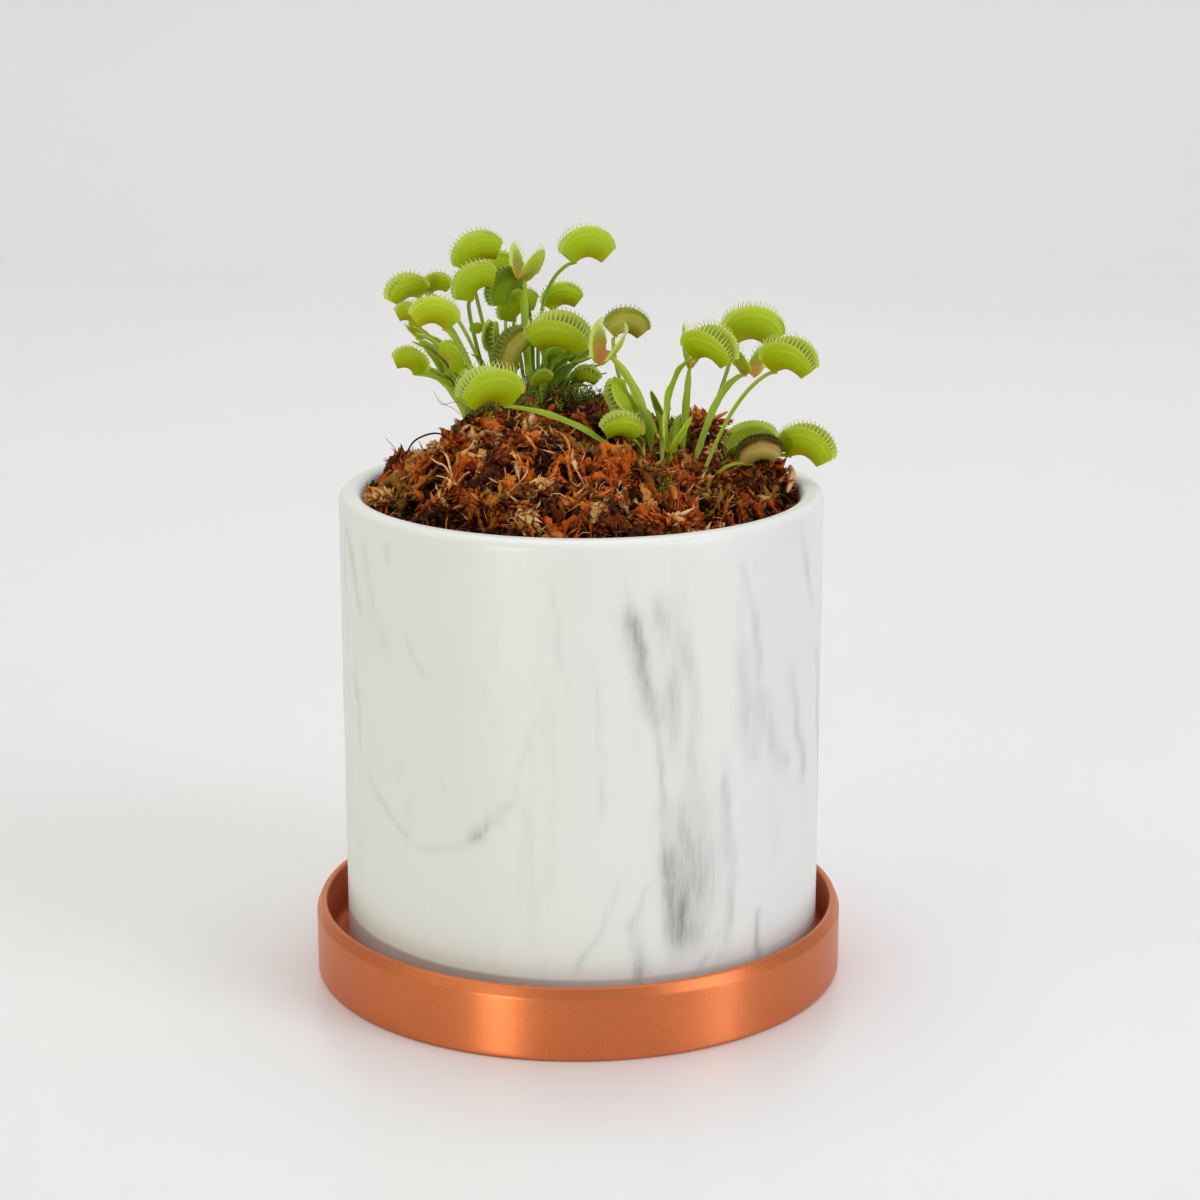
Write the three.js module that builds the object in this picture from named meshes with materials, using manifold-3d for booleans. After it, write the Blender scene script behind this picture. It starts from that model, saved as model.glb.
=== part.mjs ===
// A potted Venus flytrap: a marble-pattern cylinder pot standing in a copper saucer, filled with long-fibre
// sphagnum moss, with leaves rising from three growing points. Millimetres, +Z up, origin at the middle of
// the saucer's foot. +X is to the right and -Y towards the viewer.
import * as THREE from 'three';
import { mergeVertices } from 'three/addons/utils/BufferGeometryUtils.js';
import Module from 'manifold-3d';

const wasm = await Module();
wasm.setup();

// ---------------------------------------------------------------- driving dimensions

const GAP = 0.3; // clearance between pieces that touch
const ROUND_SIDES = 44; // sides of the pot and the saucer

const SAUCER = { radius: 67, height: 18.2, wall: 2.6, floor: 5, fillet: 3 };
const SAUCER_LIP = { bevelIn: 1.1, bevelDown: 2.6, edge: 0.4 };
const SAUCER_FOOT = { outer: 66.2, inner: 55, recess: 1 };
const POT = { radius: 60, height: 119, wall: 5.8, floor: 6, fillet: 4, lipRound: 2.4, drain: 7 };
const POT_FOOT = { inner: 48, recess: 1.2, round: 2.2 };
const POT_X = 1; // the pot stands slightly right of the saucer's middle
const POT_FOOT_Z = SAUCER.floor + GAP;
const POT_TOP_Z = POT_FOOT_Z + POT.height;
const POT_FLOOR_Z = POT_FOOT_Z + POT.floor;
const SOIL_RADIUS = POT.radius - POT.wall - GAP;

// The moss fills the pot and rises in one lopsided mound. `reach` is how far it runs from the peak to where
// the mound would meet the base level: left, right, front, back.
const MOUND = { base: 116, rise: 26, x: -12, y: 16, reach: { left: 46, right: 70, front: 72, back: 42 } };
// Swells and hollows of the mound, each with its height at the middle and how far it spreads: the hollow that
// the right-hand plant stands in, the steep left flank, the heap by the right wall and the tuft behind.
const SWELLS = [
  { x: 20, y: 1, rise: -5.5, across: 14, deep: 12 },
  { x: -36, y: 22, rise: -6.5, across: 6, deep: 16 },
  { x: 50, y: 9, rise: 3.6, across: 7, deep: 13 },
  { x: 33.5, y: 23.5, rise: 6, across: 3.8, deep: 5 },
];
const LUMP = { height: 0.8, alongX: 0.67, alongY: 0.55, startX: 1, startY: -2 };
const MOSS_RINGS = 10;
const MOSS_SIDES = 36;
const MOSS_CUT = POT.fillet + 0.5; // how far the plug's bottom edge is cut back

// A trap's outline as shares of its span, the distance between the two ends of a lobe's margin.
const TRAP = { chord: 0.57, arch: 0.12, corner: 0.22, rise: 0.62, bulge: 0.13 };
const BLADE = 0.7; // thickness of a lobe
const RIB = 1.3; // the midrib is this many times as thick
const BELLY = 0.55; // where a lobe's section turns, between the midrib (0) and the margin (1)
const TOOTH = { share: 0.13, most: 1.9, lean: 0.35 }; // a tooth's length by span, and where its line starts
const STEP_PER_COLUMN = 2.6; // about one margin step for this much span, 6 to 10 in all
const PETIOLE = { thickness: 1, neck: 0.9, foot: 1.3, bury: 6, steps: 5, widest: 0.62, intoTrap: 0.6 };
const FILLED_GAPE = 17; // a trap closed tighter than this is one filled body, because its hollow is sealed
const FILLED_SPAN = 6.5; // and so is a young trap shorter than this

// Each leaf grows from `root` on the moss, passes `bend` half way and ends at `heel`, where its trap starts.
// aim = [heading, climb, lean] of the trap's midrib in degrees: heading 0 is +X and 90 is +Y, and lean turns
// the opening about the midrib. gape is the angle between the two lobes; width is that of the winged petiole.
const LEAVES = {
  left: [
    { root: [-18.5, 26], bend: [-23, 25, 157], heel: [-27, 22, 175], aim: [0, 25, 2], span: 13, gape: 22,
      width: 1.6 },
    { root: [-19.5, 20], bend: [-26, 17, 160], heel: [-26.5, 14, 168.5], aim: [10, 35, 0], span: 12,
      gape: 20, width: 2.2 },
    { root: [-16.5, 32], bend: [-18.5, 38, 156], heel: [-17.5, 40, 171], aim: [180, 10, -5], span: 9.5,
      gape: 28, width: 1.4 },
    { root: [-17.5, 21], bend: [-19.5, 21, 149.5], heel: [-19.5, 20, 157.5], aim: [-110, 70, 170], span: 8.5,
      gape: 30, width: 1.3 },
    { root: [-21.5, 31], bend: [-30.5, 31.5, 156], heel: [-40, 31, 167], aim: [-155, -15, -4], span: 11,
      gape: 30, width: 1.4 },
    { root: [-20, 36.5], bend: [-33, 40.5, 157], heel: [-40, 41, 167], aim: [-80, 30, 5], span: 4.5,
      gape: 16, width: 1, rise: 1.2 },
    { root: [-19, 31], bend: [-28.5, 34, 157], heel: [-38, 36, 167], aim: [0, 10, 5], span: 8, gape: 30,
      width: 1.3 },
    { root: [-21, 17], bend: [-27, 12, 152.5], heel: [-32.5, 10, 162], aim: [-165, 10, 4], span: 12,
      gape: 24, width: 2 },
    { root: [-23, 27], bend: [-32.5, 27, 151], heel: [-41, 27, 160], aim: [-155, 25, 0], span: 8.5,
      gape: 26, width: 1.4 },
    { root: [-22.5, 30], bend: [-32, 31, 145.5], heel: [-40.5, 32, 156], aim: [-160, 45, 60], span: 6,
      gape: 24, width: 2.8 },
    { root: [-22, 22], bend: [-28.5, 22, 145], heel: [-32, 22, 149.5], aim: [180, 55, -8], span: 9,
      gape: 22, width: 1.6 },
    { root: [-23, 20], bend: [-32, 21, 145.5], heel: [-41, 22, 148.5], aim: [-155, 25, -6], span: 9.5,
      gape: 20, width: 1.5 },
    { root: [-17, 28], bend: [-21.5, 32, 149.5], heel: [-24, 35, 158], aim: [180, 80, 180], span: 2.6,
      gape: 10, width: 1.2, rise: 1.4 },
  ],
  middle: [
    { root: [-12, 26], bend: [-11.5, 28, 156.5], heel: [-14, 27.6, 170.5], aim: [-155, -45, 5], span: 11.5,
      gape: 24, width: 1.5 },
    { root: [-10.5, 22.5], bend: [-13, 22.5, 156.5], heel: [-13, 24, 172], aim: [-108, 15, -8], span: 10.5,
      gape: 48, width: 2.2, rise: 0.85 },
    { root: [-9, 27], bend: [-9, 25, 164], heel: [-1, 22, 177], aim: [15, 0, -15], span: 13.5, gape: 22,
      width: 1.2 },
    { root: [-8.5, 31], bend: [-7, 38, 152], heel: [-6.5, 42, 162], aim: [0, 10, 0], span: 10.5, gape: 26,
      width: 1.3 },
    { root: [-12.5, 30], bend: [-14.5, 32, 150.5], heel: [-16.5, 32, 160.5], aim: [10, 30, 0], span: 11,
      gape: 24, width: 1.3 },
    { root: [-13.5, 20], bend: [-15.5, 15.5, 147], heel: [-15, 13.5, 151.5], aim: [20, 60, 10], span: 12.5,
      gape: 22, width: 1.8 },
    { root: [-8.5, 18], bend: [-8, 12.5, 150.5], heel: [-9, 10, 157], aim: [-15, -5, 14], span: 15.8,
      gape: 36, width: 1.3 },
    { root: [-7.5, 26], bend: [-5.5, 28, 146.5], heel: [-6, 30, 150], aim: [0, 5, 15], span: 8.5, gape: 30,
      width: 1.2 },
    { root: [-9.5, 14.5], bend: [-9, 10, 145.5], heel: [-9.5, 9.5, 148], aim: [-20, 20, 20], span: 5.5,
      gape: 36, width: 1 },
    { root: [-6.5, 20], bend: [-3.5, 21, 146], heel: [0.5, 21, 146.5], aim: [-25, 0, 20], span: 7.5,
      gape: 26, width: 1.4 },
    { root: [-6.5, 30], bend: [-3, 32, 146], heel: [1.5, 34, 150], aim: [35, 20, 0], span: 7, gape: 26,
      width: 1.2 },
  ],
  right: [
    { root: [17, -2], bend: [2.5, -7, 139.5], heel: [-17, -8, 146], aim: [-152, 0, 3], span: 16, gape: 38,
      width: 2.1 },
    { root: [19.5, 1], bend: [16, 1, 144], heel: [7.5, 0, 157.5], aim: [-105, -10, -14], span: 14, gape: 54,
      width: 2.3 },
    { root: [18.5, 10], bend: [11, 9, 148], heel: [9, 12, 160], aim: [10, -5, 0], span: 11, gape: 18,
      width: 1.4 },
    { root: [18.5, 6], bend: [17.5, 6, 137.5], heel: [15, 5, 145], aim: [180, 55, -145], span: 10.5,
      gape: 30, width: 1.7 },
    { root: [16.5, 0], bend: [15.5, -3, 134], heel: [13, -5, 137], aim: [-160, 10, -12], span: 10.5,
      gape: 28, width: 1.6 },
    { root: [22.5, -4], bend: [22.5, -5, 132], heel: [22.5, -5.5, 133.5], aim: [-105, 20, -10], span: 5,
      gape: 36, width: 1.6, rise: 2.1 },
    { root: [21, -1], bend: [22.5, 0, 147], heel: [29, 2, 156], aim: [-40, -10, 6], span: 14.5, gape: 38,
      width: 2.8 },
    { root: [25.5, 8], bend: [27, 11, 140.5], heel: [28, 13, 151.5], aim: [-85, 15, -10], span: 9.5,
      gape: 34, width: 1.9, rise: 1.1 },
    { root: [26.5, 8], bend: [35, 13, 143.5], heel: [39.6, 18.5, 157], aim: [5, -5, -8], span: 15.2, gape: 24,
      width: 2 },
    { root: [28, 5], bend: [34.5, 9.5, 143], heel: [42, 12.5, 150], aim: [-70, 5, 0], span: 10, gape: 60,
      width: 2, rise: 0.85 },
    { root: [29.5, 1.5], bend: [38.5, 2, 143], heel: [48.5, 3, 152.5], aim: [-35, -5, 7], span: 14.4,
      gape: 32, width: 1.8 },
    { root: [31, 8], bend: [37, 12, 127.5], heel: [40.5, 15, 129], aim: [0, 10, 35], span: 13.5, gape: 46,
      width: 1.6 },
    { root: [31.5, 3], bend: [42, 7, 128.5], heel: [52.8, 7.9, 130.5], aim: [-25, -15, 2], span: 14.3,
      gape: 22, width: 1.8 },
    { root: [22, 12], bend: [21.5, 14, 133], heel: [22, 14, 136.5], aim: [-75, 25, 5], span: 5, gape: 22,
      width: 1.3, rise: 1.9 },
    { root: [25, 12.5], bend: [25.5, 15, 130.5], heel: [26, 15, 132], aim: [-70, 15, 5], span: 4, gape: 20,
      width: 1.2, rise: 1.8 },
    { root: [29.5, -1.5], bend: [36, 0, 128.5], heel: [42.5, 3, 129], aim: [0, 10, 15], span: 11.4, gape: 14,
      width: 1.6, withered: true },
  ],
};

// The short rhizome of each growing point: a squat stub whose top stands just clear of the moss.
const RHIZOMES = {
  left: { x: -20, y: 26.5, half: [4.5, 12] },
  middle: { x: -10.1, y: 23.5, half: [4.9, 11] },
  right: { x: 23.8, y: 4, half: [9.6, 10.5] },
};
const RHIZOME = { sides: 12, above: 0.6, below: 9, shoulder: 0.72, shoulderDown: 0.8, tail: 0.55 };
const HOLLOW = { flare: 1.25, top: 2 }; // the moss opens out round a rhizome by this share, this far above it
const CLEAR = 1.2; // a leaf's hole runs on until the leaf is this far above the moss and the rhizome

const COLOURS = {
  glaze: new THREE.MeshStandardMaterial({ color: 0xece9e2, roughness: 0.35 }),
  copper: new THREE.MeshStandardMaterial({ color: 0xb5673f, roughness: 0.4, metalness: 0.8 }),
  moss: new THREE.MeshStandardMaterial({ color: 0x9a5a2c, roughness: 0.95 }),
  rhizome: new THREE.MeshStandardMaterial({ color: 0xd9dbb2, roughness: 0.6 }),
  leaf: new THREE.MeshStandardMaterial({ color: 0x9dc02a, roughness: 0.5 }),
  withered: new THREE.MeshStandardMaterial({ color: 0x9c8a55, roughness: 0.8 }),
};

// ---------------------------------------------------------------- small helpers

const radians = THREE.MathUtils.degToRad;

// A closed three.js geometry as a solid, and a solid back as a flat-shaded geometry.
function solidFrom(geometry) {
  const bare = geometry.clone();
  for (const name of Object.keys(bare.attributes)) {
    if (name !== 'position') bare.deleteAttribute(name);
  }
  const merged = mergeVertices(bare, 1e-4);
  return new wasm.Manifold(new wasm.Mesh({
    numProp: 3,
    vertProperties: merged.attributes.position.array,
    triVerts: new Uint32Array(merged.index.array),
  }));
}

function geometryFrom(solid) {
  const { numProp, vertProperties, triVerts } = solid.getMesh();
  const positions = [];
  for (let i = 0; i < vertProperties.length; i += numProp) {
    positions.push(vertProperties[i], vertProperties[i + 1], vertProperties[i + 2]);
  }
  const geometry = new THREE.BufferGeometry();
  geometry.setAttribute('position', new THREE.Float32BufferAttribute(positions, 3));
  geometry.setIndex(Array.from(triVerts));
  return geometry;
}

function largestBody(solid) {
  return solid.decompose().reduce((a, b) => (b.volume() > a.volume() ? b : a));
}

// A closed mesh from its points and faces of three or four corners.
function closedGeometry(points, faces) {
  const index = faces.flatMap((f) => (f.length === 3 ? f : [f[0], f[1], f[2], f[0], f[2], f[3]]));
  const geometry = new THREE.BufferGeometry();
  geometry.setAttribute('position', new THREE.Float32BufferAttribute(points.flatMap((p) => p.toArray()), 3));
  geometry.setIndex(index);
  return geometry;
}

// A profile of [radius, height] pairs spun round the axis.
function lathe(profile) {
  const closed = [...profile, profile[0]].map(([r, z]) => new THREE.Vector2(r, z));
  const geometry = new THREE.LatheGeometry(closed, ROUND_SIDES);
  geometry.rotateX(Math.PI / 2);
  return geometry;
}

function arc(centreR, centreZ, radius, fromDeg, toDeg, steps) {
  return Array.from({ length: steps + 1 }, (_, i) => {
    const angle = radians(fromDeg + ((toDeg - fromDeg) * i) / steps);
    return [centreR + radius * Math.cos(angle), centreZ + radius * Math.sin(angle)];
  });
}

function piece(name, geometry, material) {
  const mesh = new THREE.Mesh(geometry, material);
  mesh.name = name;
  return mesh;
}

// ---------------------------------------------------------------- saucer and pot

// The saucer stands on a ring foot. Its wall is bevelled outside at the top and rounded into the floor.
function saucerGeometry() {
  const { radius, height, wall, floor, fillet } = SAUCER;
  const { bevelIn, bevelDown, edge } = SAUCER_LIP;
  const { outer, inner, recess } = SAUCER_FOOT;
  const inside = radius - wall;
  return lathe([
    [0, recess],
    [inner, recess],
    [inner + recess, 0],
    [outer, 0],
    [radius, radius - outer],
    [radius, height - bevelDown],
    [radius - bevelIn, height - edge],
    [radius - bevelIn - edge, height],
    [inside + edge, height],
    [inside, height - edge],
    ...arc(inside - fillet, floor + fillet, fillet, 0, -90, 3),
    [0, floor],
  ]);
}

// The pot is a straight cylinder with a rounded lip and foot, a shallow recess under it and a drain hole.
function potGeometry() {
  const { radius, height, wall, floor, fillet, lipRound, drain } = POT;
  const { inner, recess, round } = POT_FOOT;
  const inside = radius - wall;
  const geometry = lathe([
    [drain, recess],
    [inner - recess, recess],
    [inner, 0],
    ...arc(radius - round, round, round, -90, 0, 2),
    ...arc(radius - lipRound, height - lipRound, lipRound, 0, 90, 3),
    ...arc(inside + lipRound, height - lipRound, lipRound, 90, 180, 3),
    ...arc(inside - fillet, floor + fillet, fillet, 0, -90, 1),
    [drain, floor],
  ]);
  geometry.translate(POT_X, 0, POT_FOOT_Z);
  return geometry;
}

// ---------------------------------------------------------------- moss

// Height of the moss surface at a point: the mound with low lumps, then its swells and hollows.
function mossHeight(x, y) {
  const { base, rise, reach } = MOUND;
  const dx = x - MOUND.x;
  const dy = y - MOUND.y;
  const farX = dx / (dx < 0 ? reach.left : reach.right);
  const farY = dy / (dy < 0 ? reach.front : reach.back);
  const far = farX ** 2 + farY ** 2;
  const lumps = Math.sin(x * LUMP.alongX + LUMP.startX) * Math.cos(y * LUMP.alongY + LUMP.startY);
  let height = base + rise * Math.max(1 - far, 0) + LUMP.height * lumps;
  for (const swell of SWELLS) {
    const away = ((x - swell.x) / swell.across) ** 2 + ((y - swell.y) / swell.deep) ** 2;
    height += swell.rise * Math.exp(-away / 2);
  }
  return height;
}

// One ring of points round the pot's axis, at a height that may vary.
function mossRing(radius, heightAt) {
  return Array.from({ length: MOSS_SIDES }, (_, side) => {
    const angle = (2 * Math.PI * side) / MOSS_SIDES;
    const x = POT_X + radius * Math.cos(angle);
    const y = radius * Math.sin(angle);
    return new THREE.Vector3(x, y, heightAt(x, y));
  });
}

// A closed plug: a top that follows mossHeight, a straight side, and a flat bottom that is cut back to clear
// the rounding inside the pot.
function mossGeometry() {
  const bottomZ = POT_FLOOR_Z + GAP;
  const rings = [];
  for (let ring = 1; ring <= MOSS_RINGS; ring++) {
    rings.push(mossRing((SOIL_RADIUS * ring) / MOSS_RINGS, mossHeight));
  }
  rings.push(mossRing(SOIL_RADIUS, () => bottomZ + MOSS_CUT));
  rings.push(mossRing(SOIL_RADIUS - MOSS_CUT, () => bottomZ));
  const top = new THREE.Vector3(POT_X, 0, mossHeight(POT_X, 0));
  const bottom = new THREE.Vector3(POT_X, 0, bottomZ);
  const points = [top, bottom, ...rings.flat()];
  const at = (ring, side) => 2 + ring * MOSS_SIDES + (side % MOSS_SIDES);
  const faces = [];
  for (let side = 0; side < MOSS_SIDES; side++) {
    faces.push([0, at(0, side), at(0, side + 1)]);
    for (let ring = 0; ring < rings.length - 1; ring++) {
      faces.push([at(ring, side), at(ring + 1, side), at(ring + 1, side + 1), at(ring, side + 1)]);
    }
    faces.push([at(rings.length - 1, side), 1, at(rings.length - 1, side + 1)]);
  }
  return closedGeometry(points, faces);
}

// ---------------------------------------------------------------- leaves

// The directions of a trap: along its midrib, out of its opening, and to its side.
function trapFrame({ aim: [heading, climb, lean] }) {
  const along = new THREE.Vector3(
    Math.cos(radians(climb)) * Math.cos(radians(heading)),
    Math.cos(radians(climb)) * Math.sin(radians(heading)),
    Math.sin(radians(climb)),
  );
  const out = new THREE.Vector3(0, 0, 1).addScaledVector(along, -along.z).normalize();
  out.applyAxisAngle(along, radians(lean));
  return { along, out, side: new THREE.Vector3().crossVectors(out, along) };
}

// A point on the middle surface of a lobe: s runs from the heel (-1) to the tip (1), t from the midrib (0) to
// the margin (1), and hand is -1 or 1 for the two lobes.
function lobePoint(leaf, frame, s, t, hand) {
  const { span, gape, rise = TRAP.rise } = leaf;
  const half = radians(gape / 2);
  const turn = (s * Math.PI) / 2;
  const corner = (TRAP.corner * rise) / TRAP.rise;
  const ribAlong = (TRAP.chord / 2) * s;
  const ribOut = TRAP.arch * Math.cos(turn);
  const alongRib = ribAlong + (Math.sin(turn) / 2 - ribAlong) * t;
  const away = (corner + (rise - corner) * Math.cos(turn) - ribOut) * t;
  const bulge = TRAP.bulge * Math.sin(Math.PI * t) * Math.cos(0.8 * turn);
  return new THREE.Vector3(...leaf.heel)
    .addScaledVector(frame.along, span * (TRAP.chord / 2 + alongRib))
    .addScaledVector(frame.out, span * (ribOut + away * Math.cos(half) - bulge * Math.sin(half)))
    .addScaledVector(frame.side, span * hand * (away * Math.sin(half) + bulge * Math.cos(half)));
}

// The trap as one closed skin. Its section runs from one margin round the midrib to the other. An open trap
// has the same section again on the inside; a shut one is filled. Teeth rise from every second margin step.
function trapSolid(leaf, frame) {
  const { span, gape } = leaf;
  const columns = Math.min(Math.max(2 * Math.round(span / STEP_PER_COLUMN), 6), 10);
  const filled = gape < FILLED_GAPE || span < FILLED_SPAN;
  const half = radians(gape / 2);
  const section = [[-1, 1], [-1, BELLY], [0, 0], [1, BELLY], [1, 1]];
  const tooth = Math.min(TOOTH.share * span, TOOTH.most);
  const heart = lobePoint(leaf, frame, 0, TOOTH.lean, 1)
    .lerp(lobePoint(leaf, frame, 0, TOOTH.lean, -1), 0.5);
  const points = [];
  const faces = [];
  const layers = filled ? 1 : 2;
  const id = (layer, column, row) => (layer * (columns + 1) + column) * section.length + row;

  for (let layer = 0; layer < layers; layer++) {
    for (let column = 0; column <= columns; column++) {
      const s = -1 + (2 * column) / columns;
      for (const [hand, t] of section) {
        const point = lobePoint(leaf, frame, s, t, hand || 1);
        const away = layer === 0 ? BLADE / 2 : -BLADE / 2;
        if (hand === 0) {
          point.addScaledVector(frame.out, -away * RIB);
        } else {
          point.addScaledVector(frame.side, hand * away * Math.cos(half));
          point.addScaledVector(frame.out, -away * Math.sin(half));
        }
        points.push(point);
      }
    }
  }

  const last = section.length - 1;
  for (let column = 0; column < columns; column++) {
    for (let row = 0; row < last; row++) {
      faces.push([id(0, column, row), id(0, column + 1, row), id(0, column + 1, row + 1),
        id(0, column, row + 1)]);
      if (!filled) {
        faces.push([id(1, column, row), id(1, column, row + 1), id(1, column + 1, row + 1),
          id(1, column + 1, row)]);
      }
    }
    for (const hand of [-1, 1]) {
      const row = hand < 0 ? 0 : last;
      const rim = filled
        ? [id(0, column, last), id(0, column + 1, last), id(0, column + 1, 0), id(0, column, 0)]
        : [id(0, column, row), id(1, column, row), id(1, column + 1, row), id(0, column + 1, row)];
      if (!filled && hand > 0) rim.reverse();
      if (filled && hand > 0) continue;
      if (column % 2 === (hand < 0 ? 0 : 1)) {
        const tip = rim.reduce((sum, i) => sum.add(points[i]), new THREE.Vector3()).multiplyScalar(1 / 4);
        tip.addScaledVector(tip.clone().sub(heart).normalize(), tooth);
        const apex = points.push(tip) - 1;
        rim.forEach((from, i) => faces.push([from, rim[(i + 1) % 4], apex]));
      } else {
        faces.push(rim);
      }
    }
  }
  for (const column of [0, columns]) {
    const turn = (face) => faces.push(column === 0 ? face : [...face].reverse());
    if (filled) {
      for (let row = 1; row < last; row++) {
        turn([id(0, column, 0), id(0, column, row), id(0, column, row + 1)]);
      }
    } else {
      for (let row = 0; row < last; row++) {
        turn([id(0, column, row), id(0, column, row + 1), id(1, column, row + 1), id(1, column, row)]);
      }
    }
  }
  return outwards(closedGeometry(points, faces));
}

// The solid of a closed geometry, turned round if its faces point inwards.
function outwards(geometry) {
  const solid = solidFrom(geometry);
  if (solid.volume() > 0) return solid;
  const index = Array.from(geometry.index.array);
  for (let i = 0; i < index.length; i += 3) [index[i + 1], index[i + 2]] = [index[i + 2], index[i + 1]];
  geometry.setIndex(index);
  return solidFrom(geometry);
}

// The line of a petiole: from its root through its bend to the heel of the trap.
function petioleLine(leaf) {
  const [x, y] = leaf.root;
  const root = new THREE.Vector3(x, y, mossHeight(x, y) - PETIOLE.bury);
  const heel = new THREE.Vector3(...leaf.heel);
  const control = new THREE.Vector3(...leaf.bend).multiplyScalar(2)
    .addScaledVector(root, -0.5).addScaledVector(heel, -0.5);
  return new THREE.QuadraticBezierCurve3(root, control, heel);
}

// A flattened, winged stem with a four-sided section. `grow` makes it thicker all round, for the hole that it
// stands in, and `steps` ends it early.
function petioleSolid(leaf, frame, grow = 0, steps = PETIOLE.steps) {
  const line = petioleLine(leaf);
  const points = [];
  const faces = [];
  for (let step = 0; step <= steps; step++) {
    const u = step / PETIOLE.steps;
    const tangent = line.getTangent(u);
    const wing = frame.side.clone().addScaledVector(tangent, -tangent.dot(frame.side)).normalize();
    const flat = new THREE.Vector3().crossVectors(tangent, wing);
    const share = u < PETIOLE.widest ? u / PETIOLE.widest : (1 - u) / (1 - PETIOLE.widest);
    const end = u < PETIOLE.widest ? PETIOLE.foot : PETIOLE.neck;
    const width = end + (leaf.width - end) * Math.sin((share * Math.PI) / 2);
    const middle = line.getPoint(u);
    if (step === 0) middle.addScaledVector(tangent, -grow);
    if (u === 1) middle.addScaledVector(frame.along, PETIOLE.intoTrap);
    for (const [a, b] of [[1, 0], [0, 1], [-1, 0], [0, -1]]) {
      points.push(middle.clone()
        .addScaledVector(wing, a * (width / 2 + grow * Math.SQRT2))
        .addScaledVector(flat, b * (PETIOLE.thickness / 2 + grow * Math.SQRT2)));
    }
  }
  for (let step = 0; step < steps; step++) {
    for (let k = 0; k < 4; k++) {
      const next = (k + 1) % 4;
      faces.push([4 * step + k, 4 * step + next, 4 * (step + 1) + next, 4 * (step + 1) + k]);
    }
  }
  faces.push([3, 2, 1, 0], [4 * steps, 4 * steps + 1, 4 * steps + 2, 4 * steps + 3]);
  return outwards(closedGeometry(points, faces));
}

function leafSolid(leaf) {
  const frame = trapFrame(leaf);
  return largestBody(trapSolid(leaf, frame).add(petioleSolid(leaf, frame)));
}

// The hole that a leaf's foot stands in, from below its root until it is clear of the moss and the rhizome.
function leafHole(leaf, rhizome) {
  const line = petioleLine(leaf);
  const rhizomeTop = mossHeight(rhizome.x, rhizome.y) + RHIZOME.above;
  let steps = 1;
  for (; steps < PETIOLE.steps; steps++) {
    const { x, y, z } = line.getPoint(steps / PETIOLE.steps);
    if (z > Math.max(mossHeight(x, y), rhizomeTop) + CLEAR) break;
  }
  return petioleSolid(leaf, trapFrame(leaf), GAP, steps);
}

// A stub with a sloping shoulder and a tapered tail. `grow` makes it larger all round, for the hollow in the
// moss, which flares at the top to let the leaves lean out.
function rhizomeSolid({ x, y, half }, grow = 0) {
  const { sides, above, below, shoulder, shoulderDown, tail } = RHIZOME;
  const brim = grow ? [[HOLLOW.flare, HOLLOW.top], [0, HOLLOW.top]] : [[shoulder, above], [0, above]];
  const profile = [[0, -below - grow], [tail, -below - grow], [1, -below / 2], [1, -shoulderDown], ...brim];
  const geometry = new THREE.LatheGeometry(profile.map(([r, z]) => new THREE.Vector2(r, z)), sides);
  geometry.rotateX(Math.PI / 2);
  geometry.scale(half[0] + grow, half[1] + grow, 1);
  geometry.translate(x, y, mossHeight(x, y));
  return solidFrom(geometry);
}

// ---------------------------------------------------------------- the assembly

const plant = new THREE.Group();
const holes = [];
for (const [crown, leaves] of Object.entries(LEAVES)) {
  for (const leaf of leaves) holes.push(leafHole(leaf, RHIZOMES[crown]));
}

let moss = solidFrom(mossGeometry());
for (const rhizome of Object.values(RHIZOMES)) moss = moss.subtract(rhizomeSolid(rhizome, GAP));
for (const hole of holes) moss = moss.subtract(hole);

plant.add(piece('saucer', saucerGeometry(), COLOURS.copper));
plant.add(piece('pot', potGeometry(), COLOURS.glaze));
plant.add(piece('moss_bed', geometryFrom(largestBody(moss)), COLOURS.moss));

for (const [crown, rhizome] of Object.entries(RHIZOMES)) {
  let body = rhizomeSolid(rhizome);
  for (const hole of holes) body = body.subtract(hole);
  plant.add(piece(`rhizome_${crown}`, geometryFrom(largestBody(body)), COLOURS.rhizome));
}

for (const [crown, leaves] of Object.entries(LEAVES)) {
  leaves.forEach((leaf, i) => {
    const name = leaf.withered ? 'withered_leaf' : `leaf_${crown}_${String(i + 1).padStart(2, '0')}`;
    const material = leaf.withered ? COLOURS.withered : COLOURS.leaf;
    plant.add(piece(name, geometryFrom(leafSolid(leaf)), material));
  });
}

export default plant;
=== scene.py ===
# %% [markdown]
# # A potted Venus flytrap
# The plant stands in a marble-pattern pot on a copper saucer. Its traps rise from three growing points in
# a mound of orange-brown sphagnum moss. The imported model gives the size and place of every solid, so the
# first step loads it.

# %% Load the imported model
import math

import bmesh
import bpy
import numpy as np
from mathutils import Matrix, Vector, noise


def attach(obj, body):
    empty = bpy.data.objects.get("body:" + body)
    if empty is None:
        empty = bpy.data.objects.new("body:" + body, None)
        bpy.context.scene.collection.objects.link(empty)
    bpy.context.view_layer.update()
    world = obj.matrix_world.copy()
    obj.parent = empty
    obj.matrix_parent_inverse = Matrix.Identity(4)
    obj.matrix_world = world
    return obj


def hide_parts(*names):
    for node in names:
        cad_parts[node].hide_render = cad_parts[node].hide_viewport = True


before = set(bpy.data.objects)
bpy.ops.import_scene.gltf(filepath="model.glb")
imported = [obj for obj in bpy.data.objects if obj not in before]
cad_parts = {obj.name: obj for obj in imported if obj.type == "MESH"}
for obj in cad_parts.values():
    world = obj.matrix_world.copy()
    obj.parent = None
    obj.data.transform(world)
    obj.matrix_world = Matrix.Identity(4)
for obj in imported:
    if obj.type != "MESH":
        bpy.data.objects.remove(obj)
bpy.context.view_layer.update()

MM = 0.001

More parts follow.
